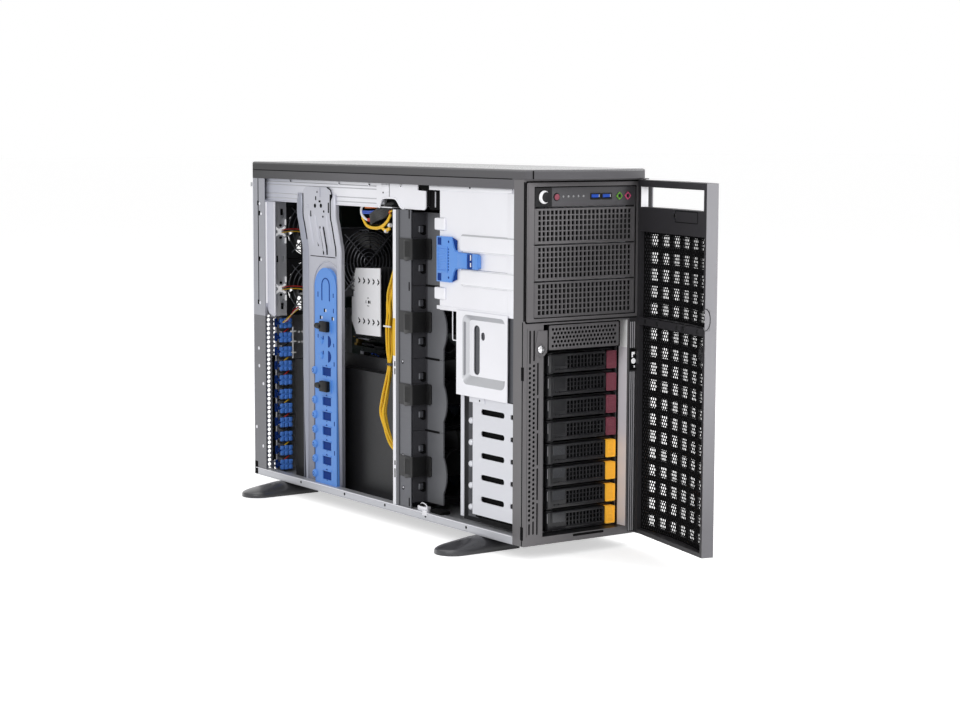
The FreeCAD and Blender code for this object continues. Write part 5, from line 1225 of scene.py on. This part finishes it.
def makeFanWallDetail(at):  # strap, rivets, latch tabs, hooks and the gaps between the fan modules
    shape = Shape()
    x = at.x
    shape.box((x - 0.7, x + 0.6), at.strap, (27.2, 406.4), 0.3, 1)
    for y, z in at.rivets:
        shape.turned([(1.2, 0.4), (1.2, -0.7), (0.4, -0.9)], (at.flange, y - 0.8, z + 0.6), 0, 10)
    shape.tint = 1
    for y, low, high in at.slots:
        shape.box((x - 0.8, x + 0.3), about(y, 1.2), (low, high))
    for y, z in at.rivets:
        shape.disc(2.6, 0.4, -0.2, (at.flange, y, z), 0, 14)
    for z in (394.0, 303.0, 256.0, 27.0):
        shape.box((at.flange - 0.15, at.flange + 0.4), (-401, -398.6), (z + 2, z + 13))
    for z in at.slits:
        shape.box((-65.6, -64.4), (-436, -404.4), about(z, 1.3))
    for z in at.hooks:
        shape.disc(6.4, 0.4, -0.4, (-68.6, fanFace, z), 1, 20)
    shape.tint = 4
    for z in at.hooks:
        shape.box((-76.6, -69.6), (fanFace - 2.2, fanFace + 0.2), (z - 3.0, z + 5.4), 1.2, 3)
    shape.tint = 2
    low, high = at.label
    shape.box((x - 0.85, x - 0.5), (at.strap[0] + 0.6, at.strap[1] - 0.4), (low, high))
    shape.tint = 3
    for z in at.fans:
        outline = roundRect(-419.0, z - 13.2, -404.0, z + 13.2, 2.4, 4)
        shape.slab(outline, 0, -67.4, -65.1, 0.5)
        shape.box((-88.9, -64.6), (-409.4, -404.2), about(z, 13.2), 0.8)
        shape.slab([(y, z + lift) for y, lift in at.tongue], 0, -89.0, -86.8, 0.5)
        for step in range(5):
            ridge = (-404 + step * 2.6, -403 + step * 2.6)
            shape.box((-89.4, -88.6), ridge, about(z, 10), 0.25, 1)
    return shape.make("fan_wall_detail", "case", "cage matBlack yellow smoke darkSteel")


makeFanWallDetail(wallSet)
print("fan wall detailed")

barSet = Sizes(
    path=[(-76.8, 18.4), (-76.8, 180.0), (-76.8, 344.0), (-77.3, 350.0), (-79.0, 358.0), (-83.1, 381.0),
        (-84.8, 388.0), (-85.3, 394.0), (-85.3, 412.0), (-85.3, 421.0)],
    left=-119.0, right=-219.0, head=-85.3,
    holes=((-165.3, 404.8, 2.9), (-180.8, 405.3, 2.9), (-188.3, 397.8, 1.7), (-185.6, 390.7, 1.4),
        (-170.8, 423.4, 1.3)),
    slots=((-200.3, 396.2, 410.0, 1.4), (-154.0, 390.0, 398.0, 1.2), (-167.3, 412.4, 417.6, 1.3),
        (-177.5, 409.6, 412.4, 2.4)),
    neck=((-76.5, 340), (-76.5, 345), (-77.3, 352), (-79.0, 360), (-81.6, 373), (-82.4, 378)),
    groove=((-76.9, 339), (-76.9, 346), (-79.3, 360), (-82.4, 377)),
    curl=((8.6, 416), (9.4, 421), (13, 427), (22, 430)),
    arch=36.0, archY=-183.0, crown=294.0)


def makeCardBar(at):  # pressed bar with raised sides, a sloped neck and a pierced head
    shape = Shape()
    left, right = at.left, at.right
    head = [(at.head, 426.0, 4.0), (at.head, 429.0, 8.0), (at.head, 430.2, 14.0)]
    rings = []
    for x, z, inset in [(x, z, 0.0) for x, z in at.path] + head:
        rings.append([(x, right + 8 + inset, z), (x, left - 12 - inset, z),
                      (x + 1.5, left - 12 - inset, z), (x + 1.5, right + 8 + inset, z)])
    shape.skin(rings)
    for middle, wide, rise, tint in ((left - 7, 15.0, 4.2, 2), (right + 5, 11.0, 4.2, 0)):
        shape.tint = tint
        shape.bead([(x + 0.8, middle, z) for x, z in at.path], wide, rise, (0, 1, 0), (-1, 0, 0))
    shape.tint = 0
    for edge in (left - 1.2, right):
        shape.skin([[(x - 0.6, edge, z), (x - 0.6, edge + 1.2, z), (x + 5, edge + 1.2, z),
                     (x + 5, edge, z)] for x, z in at.path])
    slope = [(x + 0.4, z) for x, z in at.path[3:8]]
    for y in (-147.0, -163.0, -193.0):
        shape.bead([(x, y, z) for x, z in slope], 8.0, 2.2, (0, 1, 0), (-1, 0, 0))
    shape.bead([(x, -178, z) for x, z in at.neck], 6.4, 3.2, (0, 1, 0), (-1, 0, 0))
    arch = [(-77.0, y, z) for y, z in arc(at.archY, at.crown, at.arch, 0, 180, 12)]
    arch = [(-77.0, arch[0][1], 30.0)] + arch + [(-77.0, arch[-1][1], 30.0)]
    shape.sweep(arch, 1.1, 6)
    shape.box((-86.4, -85), (-179, -175.6), (416.6, 429.6), 0.5)
    shape.turned([(2.2, 0.4), (2.2, -0.6), (1.2, -1.0), (0.3, -1.1)], (at.head, -145.4, 403.8), 0, 14)
    shape.tint = 1
    for y, z, radius in at.holes:
        shape.disc(radius, 0.3, -0.15, (at.head, y, z), 0, 18)
    for y, low, high, reach in at.slots:
        shape.box((-85.45, -85), about(y, reach), (low, high))
    for lift in (4.6, -4.6):
        shape.sweep([(x, -178 + lift, z) for x, z in at.groove], 1.0, 6)
    shape.sweep([(-76.9, -139, 336), (-76.9, -204, 336)], 0.55, 6)
    shape.sweep([(-76.8, right + 12, 338)] + [(x - 0.1, right + 12, z) for x, z in at.path[2:]], 1.8, 8)
    shape.sweep([(-85.4, right + along, z) for along, z in at.curl], 0.8, 6)
    shape.sweep([(x - 0.1, left - 14.6, z) for x, z in at.path[4:]], 0.8, 6)
    shape.sweep([(x - 0.3, -161.5, z) for x, z in at.path[3:7]], 0.8, 6)
    return shape.make("card_bar_pressing", "case", "bar matBlack barShade", ("card_bar",))


makeCardBar(barSet)

retainerSet = Sizes(
    face=-81.8, back=-76.8, left=-158.0, right=-212.4, low=27.0, crown=294.0, lift=9.8,
    pocket=(-199.0, -176.6, 6.3), held=(6, 10), moons=(8, 9),
    nicks=((-166.2, 281.6, 288.6), (-206.0, 282.6, 288.4), (-206.4, 262.0, 268.0), (-166.0, 226.0, 231.0),
           (-206.6, 216.0, 221.0)), edgeNicks=(109.0, 190.0, 69.0),
    darkSpots=((-183.3, 264.4), (-172.7, 254.1), (-203.3, 254.4)),
    paleSpots=((-186.8, 264.0), (-176.6, 254.0), (-206.6, 254.0)))


def makeRetainer(at):
    shape = Shape()
    face, back = at.face, at.back
    left, right = at.left, at.right
    middle, radius = (left + right) / 2, (left - right) / 2
    outline = arc(middle, at.crown, radius, 0, 180, 9)
    outline += [(right, at.low), (left, at.low)]
    heights = [slots.first + at.lift + index * slots.pitch for index in range(slots.count)]
    start, end, reach = at.pocket
    plain = [index for index in range(8) if index not in at.held]
    pockets = [roundRect(start, heights[index] - reach, end, heights[index] + reach, 0.8, 2)
               for index in plain]
    shape.pierced(outline, pockets, 0, face, back)
    shape.sweep([(face + 0.4, y, z) for y, z in outline], 0.9, 6, True)
    for index in plain:
        z = heights[index]
        shape.box((face - 1.0, face + 0.3), (start - 1, end + 1.5), (z + 5.4, z + 6.8), 0.4)
        shape.turned([(5.6, 3), (5.6, -0.6), (4.8, -2.2), (3.0, -3.4), (0.4, -3.8)],
                     (face, left + 1, z - 1), 0, 22)
    for index in at.moons:
        shape.turned([(5.0, 0.4), (5.0, -0.8), (3.6, -1.8), (0.4, -2.2)],
                     (face, -174, heights[index]), 0, 18)
    for index in at.held:
        z = heights[index]
        shape.pierced(roundRect(-201, z - 9, -174, z + 9, 2, 3),
                      [roundRect(-197, z - 7, -179, z + 7, 1, 3)], 0, face - 0.8, face + 0.2)
    # painted shade in dark blue: a sheet behind the pockets, and the small marks below
    shape.tint = 1
    shape.box((face + 1.4, face + 2.2), (right + 2, left - 2), (at.low + 2, at.crown))
    bow = [(face - 0.1, y, z) for y, z in arc(-186.4, 298, 9.8, 0, 180, 15)]
    shape.sweep([(face - 0.1, bow[0][1], 277.4)] + bow + [(face - 0.1, bow[-1][1], 277.4)], 0.75, 6)
    for index in plain:
        z = heights[index]
        shape.slab([(-190, z + 6.9), (-185, z + 6.9), (-187.5, z + 9.2)], 0, face - 0.15, face + 0.3)
        shape.disc(0.9, 0.2, -0.15, (face, -188, z - 7.2), 0, 8)
        shape.ring((face - 3.3, left + 1, z - 1), 0, 2.2, 0.45, 14)
    for index in at.moons:
        z = heights[index]
        shape.slab(arc(-192, z, 8, 90, 270, 15), 0, face - 0.2, face + 0.3)
        shape.box((face - 0.2, face + 0.3), (-180.6, -178.4), (z + 2, z + 7))
    for y, low, high in at.nicks:
        shape.box((face - 0.15, face + 0.3), about(y, 0.9), (low, high))
    for z in at.edgeNicks:
        shape.box((face - 0.15, face + 0.3), (-208.6, -206.6), (z, z + 6))
    shape.tint = 2
    for y, z in at.darkSpots:
        shape.box((face - 0.2, face + 0.3), about(y, 1.6), about(z, 2.4))
    shape.tint = 3
    for y, z in at.paleSpots:
        shape.box((face - 0.4, face + 0.3), about(y, 1.3), about(z, 1.8), 0.2, 1)
    return shape.make("retainer_detail", "case", "blue deepBlue matBlack white",
                      ("card_retainer",))


def makePlunger(number, index, at):
    shape = Shape()
    z = slots.first + at.lift + index * slots.pitch
    face = at.face
    shape.box((face - 6.4, -70.0), (-194.6, -181.8), about(z, 5.2), 1.0)
    shape.box((face - 7.2, face - 0.2), (-197.6, -178.6), about(z, 7.2), 1.6, 3)
    shape.turned([(4.6, -2), (4.8, 2.0), (4.1, 4.5), (4.1, 10.0), (3.4, 12.6), (1.2, 13.6)],
                 (face - 3.6, -179, z), 1, 20)
    node = "card_plunger_%d" % number
    return shape.make("plunger_head_%d" % number, node, "knob", (node,))


makeRetainer(retainerSet)
for number, index in enumerate(retainerSet.held, 1):
    makePlunger(number, index, retainerSet)
print("card bar, retainer and plungers made")

clipSet = Sizes(middle=-50.4, face=-25.0)


def makeClips(at):  # eleven lobed blue clips on their rod
    shape = Shape()
    pivotX, pivotY = slots.pivot
    x, y = at.middle, at.face
    for index in range(slots.count):
        z = slots.first + index * slots.pitch
        shape.tint = 0
        for column, spread in ((-6.8, 0.0), (0.0, 0.9), (6.8, 0.0)):
            for row in (-3.9, 3.9):
                middle = z + row * (1.0 + spread * 0.1)
                shape.box(about(x + column, 2.9), (y, y + 4.6), about(middle, 3.1), 1.3, 3)
        shape.box(about(x, 8.4), (y + 0.8, y + 3), about(z, 1.4), 0.5)
        # painted shade: the rod and the parts behind the lobes are dark blue
        shape.tint = 1
        shape.disc(2.4, -6, 6, (pivotX, pivotY, z), 2, 14)
        shape.box(about(x, 5), (y + 3.6, y + 6), about(z, 5))
        shape.box((pivotX - 1.6, x + 2), (y + 5, pivotY), about(z, 2.4))
    return shape.make("lobed_clips", "slot_clips", "clip deepBlue", ("slot_clips",))


makeClips(clipSet)

rotorSet = Sizes(blades=7, hub=0.42, thick=1.3, twist=14.0)


def makeRotor(node, at):  # swept blades round a domed hub, placed and sized by the node itself
    shape = Shape()
    low, high = (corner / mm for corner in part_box(node))
    middle = (low + high) / 2
    tip = (high.x - low.x) / 2
    hub = tip * at.hub
    near, far = low.y + 0.6, high.y - 0.6
    broad = 360.0 / at.blades * 1.04
    for blade in range(at.blades):
        rings = []
        for step in range(6):
            share = step / 5
            radius = hub * 0.95 + (tip - 0.3 - hub * 0.95) * share
            upper, lower = [], []
            for cut in range(7):
                along = cut / 6
                turn = math.radians(blade * 360.0 / at.blades + (along - 0.5) * broad + at.twist * share)
                y = near + 1.2 + (far - near - 2.4) * along
                point = (middle.x + radius * math.cos(turn), middle.z + radius * math.sin(turn))
                upper.append((point[0], y - at.thick / 2, point[1]))
                lower.append((point[0], y + at.thick / 2, point[1]))
            rings.append(upper + lower[::-1])
        shape.skin(rings)
    profile = ((hub, far), (hub, near + 2), (hub - 1.6, near), (hub * 0.4, near), (hub * 0.3, near + 0.8))
    shape.turned([(radius, y - middle.y) for radius, y in profile], middle, 1, 32)
    return shape.make(node + "_blades", node, "fan", (node,), start=Vector())


for node in sorted(nodes):
    if "rotor" in node:
        makeRotor(node, rotorSet)
print("clips and rotors made")

rearFanSet = Sizes(
    x=caseSet.fanX, heights=caseSet.fans, inside=-27.6, outside=0.9, carrier=(-61.0, -27.0),
    rings=(9, 16, 23, 30, 37), crossReach=45.0, leadLift=10.2,
    gaps=((-58.0, 391.0), (-66.2, 325.0), (-58.0, 257.8)))


def makeRearFanFittings(at):  # guards, cross clips and leads of the rear fans
    shape = Shape()
    for height in at.heights:
        shape.tint = 0
        for y in (at.inside, at.outside):
            shape.guard((at.x, y, height), at.rings, 0.8, 36, at.crossReach)
        x, y = at.carrier
        z = height - 1.6
        # painted light: white cross clips that glow a little
        shape.tint = 6
        for turn in (35, 145, 215, 325):
            du, dv = 9.5 * math.cos(math.radians(turn)), 10.5 * math.sin(math.radians(turn))
            shape.sweep([(x, y - 1.5, z), (x + du, y - 0.5, z + dv)], 1.5, 6)
        shape.turned([(4.4, 0.8), (4.4, -1.8), (3.0, -2.6), (0.4, -2.8)], (x + 1, y, z), 1, 16)
        for lift in (13.0, -13.0):
            shape.box((x + 7.6, x + 9.8), (y - 1.4, y), (z + lift - 4, z + lift + 4), 0.5)
        shape.tint = 2
        for lift in (8.5, -8.5):
            shape.disc(1.9, 0.6, -0.9, (x + 1, y, z + lift), 1, 14)
        shape.box((x - 9.4, x - 7.0), (y - 1.2, y + 0.4), about(z, 4))
        for finish, lift in ((3, 2.0), (4, 0.2), (5, -1.6)):
            shape.tint = finish
            shape.sweep(flow([(x + 1, y - 2.2, z + lift), (x + 14, y - 4.6, z + lift + 1.4),
                              (x + 30, y - 5.4, z + lift + 0.4), (x + 44, y - 5, z + lift - 4)]),
                        0.8, 6)
    shape.tint = 2
    low = at.heights[1]
    for x, z in at.gaps:
        shape.box(about(x, 1.6), (-27.6, -25.8), about(z, 4.4))
    for finish, bend in ((5, 0.0), (1, 1.6), (3, 3.0)):  # lead that drops to the clips
        shape.tint = finish
        shape.sweep(flow([(-58 + bend, -28, low - 50), (-52 + bend, -31, low - 44),
                          (-42, -32, low - 36 + bend), (-34, -32, low - 31 + bend)]), 0.9, 6)
    shape.tint = 1
    shape.box((-39.6, -38.0), (-24, -22), (182, 227), 0.3, 1)
    for z in (220.6, 206.2):
        shape.box((-43.4, -33.8), (-25, -23), about(z, 1.2), 0.4)
        for x in (-28.0, -22.0):
            shape.disc(1.6, 0.6, -0.6, (x, -22, z - 1.4), 1, 10)
    shape.box((-43.0, -34.0), (-25, -23), (189.4, 191.2), 0.4)
    for index in range(slots.count - 1):  # short leads that show between the clips
        z = slots.first + slots.pitch * index + at.leadLift
        shape.tint = (3, 5, 4)[index % 3]
        shape.sweep(flow([(-52, -20, z - 3), (-48.5, -22, z), (-45, -21, z + 1.6)]), 0.8, 6)
    return shape.make("rear_fan_fittings", "case",
                      "darkSteel white matBlack red black yellow clipWhite")


makeRearFanFittings(rearFanSet)

cableSet = Sizes(
    x=-71.0,
    leads=[(-337, 314), (-330, 298), (-328.5, 284), (-331, 268), (-330, 250), (-331, 222), (-331, 205),
        (-326, 182), (-318, 158), (-313, 138), (-321, 117), (-334, 100), (-350, 92), (-362, 90)],
    spread=(0.5, 0.8, 0.9, 0.9, 0.9, 0.8, 0.5, 1.0, 1.3, 1.2, 0.6, 0.3, 0.2, 0.2),
    strands=((4, [(-312, 407.5), (-298, 406.6), (-279, 406)], (0, 2.4)),
             (5, [(-306, 400), (-290, 399), (-273, 398.6)], (0, 2.2)),
             (6, [(-340, 402), (-318, 395), (-300, 390), (-285, 389)], (0, 2.0)),
             (1, [(-344, 404), (-330, 399.5), (-314, 395), (-300, 391)], (0,)),
             (1, [(-271, 392), (-282, 382), (-299, 379), (-317, 381), (-332, 389), (-340, 398)], (0, 1.8)),
             (1, [(-318, 381), (-328, 377), (-338, 380)], (0, 2))))


def makeCables(at):
    shape = Shape()
    x = at.x
    shape.tint = 1
    for strand, shift in enumerate((-4.2, -2.0, 0.2, 2.4, 4.6)):
        path = [(x + 10, -349, 408 + strand), (x + 6, -345, 380), (x + 3, -342, 345)]
        for index, ((y, z), share) in enumerate(zip(at.leads, at.spread)):
            path.append((x + 3 * math.sin(strand * 2.1 + index * 0.6), y + shift * share, z))
        shape.sweep(flow(path, 5), 1.5, 8)
    shape.tint = 2  # ties round the leads
    shape.disc(5.4, -1.4, 1.4, (x, -331, 204.5), 2, 14)
    shape.box((x - 5, x - 1), (-342, -333), (202.8, 206.2), 0.5)
    shape.tint = 3
    shape.sweep([(x - 4, -338, 253.6), (x - 4.4, -322, 253.6)], 1.3, 6)
    shape.tint = 0
    for strand in range(5):  # black strands that leave the distributor and cross to the board
        lift = strand * 2.4
        shape.sweep(flow([(x + 4 + lift, -362, 420), (x - 4 + lift, -350, 414 + lift * 0.4),
                          (x - 9 + strand * 0.6, -330, 410 - lift * 1.3),
                          (x - 8 + strand, -308, 401 - lift * 0.9),
                          (x - 2, -292, 396 - lift), (-20, -276, 402 - lift),
                          (40, -262, 400), (71, -258, 396 - lift)]), 2.7, 8)
    for finish, path, lifts in at.strands:  # coloured wires beside the board plug
        shape.tint = finish
        for lift in lifts:
            shape.sweep(flow([(x - 5.2, y + lift * 0.3, z + lift) for y, z in path]), 1.25, 8)
    shape.tint = 3  # pale edge of the board plug
    shape.sweep(flow([(x - 6, -276, 409), (x - 6, -270.5, 405), (x - 6, -271, 397),
                      (x - 5, -278, 391.5), (x - 4, -285, 389)]), 1.6, 8)
    shape.disc(2.6, -2, 2, (x - 5, -338, 385), 1, 12)
    shape.disc(2.4, -2, 2, (x - 5, -329, 377), 1, 12)
    shape.tint = 0
    for shift in (0, 4):  # dark loom behind the leads
        shape.sweep(flow([(x + 16, -340, 400), (x + 16, -322 - shift, 350),
                          (x + 16, -318 - shift, 300), (x + 14, -322 - shift, 250),
                          (x + 14, -320 - shift, 205), (x + 20, -330, 190)]), 3.6, 10)
    return shape.make("cable_looms", "case",
                      "cable yellow black white wireOrange wireBlue red", ("cables",))


makeCables(cableSet)
print("rear fan fittings and cables made")

coolerSet = Sizes(
    plate=[(-266.5, 324.4), (-206, 321.6), (-196, 300), (-195, 250), (-206.5, 232.4), (-267, 233.4)],
    x=-46.0, fan=(-23.0, -187.5, 329.0), rings=(7, 12.5, 18, 23.5, 29, 34.5, 40, 44.5), crossReach=54.0,
    notch=((2.2, 4.6), (-2.6, 1.2), (-2.6, -1.2), (2.2, -4.6), (2.0, -1.8), (-0.2, 0), (2.0, 1.8)),
    marks=((305.5, (-214.8, -226.7, -238.6, -250.6, -262.5)),
        (251.2, (-214.5, -226.5, -238.4, -250.3, -262.3))))


def makeCoolers(at):
    shape = Shape()
    x = at.x
    shape.slab(at.plate, 0, x, x + 1.4)
    shape.tint = 3
    for step in range(15):
        along = x + 6 + step * 6.6
        shape.slab([(-228 + (y + 228) * 0.8, z) for y, z in at.plate], 0, along, along + 0.8)
    shape.tint = 0
    shape.box((54, 72), (-262, -202), (248, 308), 1.0)
    for y in (-218, -232, -246):
        shape.disc(3.2, 0, 100, (x + 1.4, y, 278), 0, 14)
    fanX, fanY, fanZ = at.fan
    for step in range(13):
        z = fanZ - 40 + step * 6.6
        shape.box((fanX - 40, 56), (fanY + 14, fanY + 74), (z, z + 0.8))
    shape.box((50, 72), (fanY + 16, fanY + 72), about(fanZ, 28), 1.0)
    shape.tint = 1
    for z, places in at.marks:
        for y in places:
            shape.slab([(y + along, z + lift) for along, lift in at.notch], 0, x - 0.15, x + 0.5)
    shape.disc(2.2, 0.5, -0.2, (x, -238.6, 277.6), 0, 14)
    for turn in (70, 160, 250, 340):
        mark = arc(-237, 277.7, 5.4, turn, turn + 40, 10)
        shape.sweep([(x - 0.15, y, z) for y, z in mark], 0.45, 6)
    shape.tint = 2
    shape.guard((fanX, fanY - 14.2, fanZ), at.rings, 0.75, 48, at.crossReach, 0.8)
    return shape.make("cooler_stacks", "case", "fin matBlack darkSteel dark",
                      ("cpu_coolers",))


makeCoolers(coolerSet)

boardSet = Sizes(
    face=72.0, cans=((-75, 189.5), (-84, 190), (-92, 188)), blocks=((-24, 210), (-32, 202), (-28, 196)),
    sockets=((-100, 198, 26, 4), (-70, 200, 34, 3.4), (-105, 189, 20, 5), (-44, 212, 18, 8),
             (-60, 176, 40, 6)),
    bars=(372, 380, 388, 396), pins=(368, 376, 384, 392))


def makeBoardParts(at):  # sockets, capacitors and plugs that show on the board
    shape = Shape()
    face = at.face
    for y, z, long, tall in at.sockets:
        shape.box((face - 14, face + 0.2), about(y, long / 2), about(z, tall / 2), 0.6)
    shape.tint = 1
    for y, z in at.cans:
        shape.turned([(4, -10), (4, -1), (4, 0)], (face, y, z), 0, 16)
    shape.tint = 2
    shape.disc(5, -12, 0, (face, -51, 188), 0, 16)
    shape.box((face - 12, face), (-70, -40), (206, 208), 0.4)
    shape.tint = 3
    for y, z in at.blocks:
        shape.box((face - 9, face), about(y, 3), about(z, 3), 0.6)
    for z in at.bars:
        shape.box((face - 6, face), (-120, -60), about(z, 0.8), 0.3, 1)
    for z in at.pins:
        shape.disc(2.2, -6, 0, (face, -90, z), 0, 12)
    return shape.make("board_fittings", "case", "black wireBlue psu gold")


makeBoardParts(boardSet)
print("coolers and board parts made")

leafSet = Sizes(
    inner=front - 1.5, plate=(-67.0, 402.0, -12.0, 415.0), bar=(274.2, 284.2), left=-83.0, right=68.0,
    pads=(-70.0, -20.0, 30.0, 62.0))


def makeDoorTrim(at, door):  # lines and fittings on the inner face of the door
    shape = Shape()
    y = at.inner
    left, low, right, high = at.plate
    outline = roundRect(left, low, right, high, 1.0, 2)
    shape.tint = 1
    shape.sweep([(u, y, v) for u, v in outline], 0.5, 6, True)
    shape.disc(2.2, -0.4, 0.2, (-10.0, y, 409), 1, 14)
    for z in at.bar:
        shape.sweep([(at.left, y - 0.2, z), (at.right, y - 0.2, z)], 0.5, 6)
    shape.tint = 0
    shape.ring((-10.0, y, 409), 1, 3.2, 0.5, 16)
    for x in at.pads:
        shape.box(about(x, 3), (y - 0.4, y + 0.6), (276.6, 281.8), 0.5)
    shape.box((-40.0, -32.0), (y - 0.4, y + 0.8), (275.8, 282.6), 0.8)
    shape.turned([(6.2, -1), (6.2, 0.4), (5.0, 1.2), (2.0, 1.4)], (-75.5, y - 2.6, 251), 1, 20)
    edge = door.left  # shallow finger scoop in the free edge
    shape.tint = 2
    shape.slab(rect(y - 5.95, 281.3, y - 0.05, 306.7), 0, edge + 0.3, edge + 1.4)
    shape.tint = 1
    shape.sweep([(edge + 0.1, y - 0.2 - 6.6 * math.sin(math.radians(turn)),
                  294 + 12.6 * math.cos(math.radians(turn)))
                 for turn in range(0, 181, 15)], 0.4, 6)
    return shape.make("door_trim", "door", "black matBlack doorEdge", swing=door)


makeDoorTrim(leafSet, doorSet)
print("door trim made")

cameraSet = Sizes(
    place=(-1533.9, -2609.2, 509.3), yaw=35.167, pitch=6.311, roll=0.196, focal=2094.5, wide=960,
    sensor=36.0)


def makeCamera(at):  # measured from the rear panel, in millimetres and degrees
    data = bpy.data.cameras.new("photoCamera")
    camera = bpy.data.objects.new("photoCamera", data)
    bpy.context.collection.objects.link(camera)
    yaw, pitch, roll = (math.radians(turn) for turn in (at.yaw, at.pitch, at.roll))
    ahead = Vector((math.sin(yaw) * math.cos(pitch), math.cos(yaw) * math.cos(pitch), -math.sin(pitch)))
    right = Vector((math.cos(yaw), -math.sin(yaw), 0))
    up = right.cross(ahead)
    rolledRight = right * math.cos(roll) + up * math.sin(roll)
    rolledUp = up * math.cos(roll) - right * math.sin(roll)
    turn = Matrix((rolledRight, rolledUp, -ahead)).transposed().to_4x4()
    place = (Vector(at.place) + origin) * mm
    camera.matrix_world = Matrix.Translation(place) @ turn
    data.sensor_width = at.sensor
    data.sensor_fit = "HORIZONTAL"
    data.lens = at.sensor * at.focal / at.wide
    data.clip_end = 50.0
    bpy.context.scene.camera = camera
    return camera


makeCamera(cameraSet)

studio = Sizes(
    floorSize=30.0, floor=srgb(236, 236, 236), lift=0.55, world=0.5, key=23.0, fill=46.0, top=22.0,
    drop=0.0003)


def seenDirectly(tree):  # 1 for what the camera, a mirror or a glass sees
    kinds = ("Is Camera Ray", "Is Glossy Ray", "Is Transmission Ray")
    camera, glossy, through = (Wire(tree).node("ShaderNodeLightPath", outlet=kind) for kind in kinds)
    return camera.either(glossy).either(through)


def makeFloor():
    mesh = bpy.data.meshes.new("floor")
    side = studio.floorSize
    mesh.from_pydata([(x, y, 0) for x, y in rect(-side, -side, side, side)], [], [(0, 1, 2, 3)])
    floor = bpy.data.objects.new("floor", mesh)
    bpy.context.collection.objects.link(floor)
    look = Finish("floorPaper")
    look.put(Base_Color=mottled(look, studio.floor, 60.0, 0.01), Roughness=0.9, Specular_IOR_Level=0.1)
    look.put(Emission_Color=seenDirectly(look.tree).mix((0, 0, 0, 1), (studio.lift,) * 3 + (1,)),
             Emission_Strength=1.0)
    mesh.materials.append(look.material)
    floor.location.z = -studio.drop
    return floor


def makeWorld():
    world = bpy.data.worlds.new("studioWorld")
    bpy.context.scene.world = world
    world.use_nodes = True
    tree = world.node_tree
    tree.nodes.clear()
    output = tree.nodes.new("ShaderNodeOutputWorld")
    strength = seenDirectly(tree) * (1.0 - studio.world) + studio.world
    sky = Wire(tree).node("ShaderNodeBackground", {}, {"Color": (1, 1, 1, 1), "Strength": strength})
    tree.links.new(sky.socket, output.inputs["Surface"])


def makeLamp(name, power, size, place, aim, mirrored=True):  # mirrored: seen in glossy faces
    data = bpy.data.lights.new(name, "AREA")
    data.energy = power
    data.shape = "RECTANGLE"
    data.size, data.size_y = size
    lamp = bpy.data.objects.new(name, data)
    lamp.location = place
    lamp.visible_glossy = mirrored
    lamp.rotation_euler = (Vector(aim) - Vector(place)).to_track_quat("-Z", "Y").to_euler()
    bpy.context.collection.objects.link(lamp)


makeFloor()
makeWorld()
makeLamp("keyLamp", studio.key, (1.6, 1.6), (-1.9, -1.2, 1.7), (0, 0, 0.2))
makeLamp("fillLamp", studio.fill, (1.4, 1.4), (1.2, -2.2, 1.3), (0, -0.2, 0.2), mirrored=False)
makeLamp("topLamp", studio.top, (2.0, 2.0), (0.2, 0.4, 2.4), (0, 0, 0.2))
bpy.context.scene.view_settings.view_transform = "Standard"
print("camera, floor and lamps set")
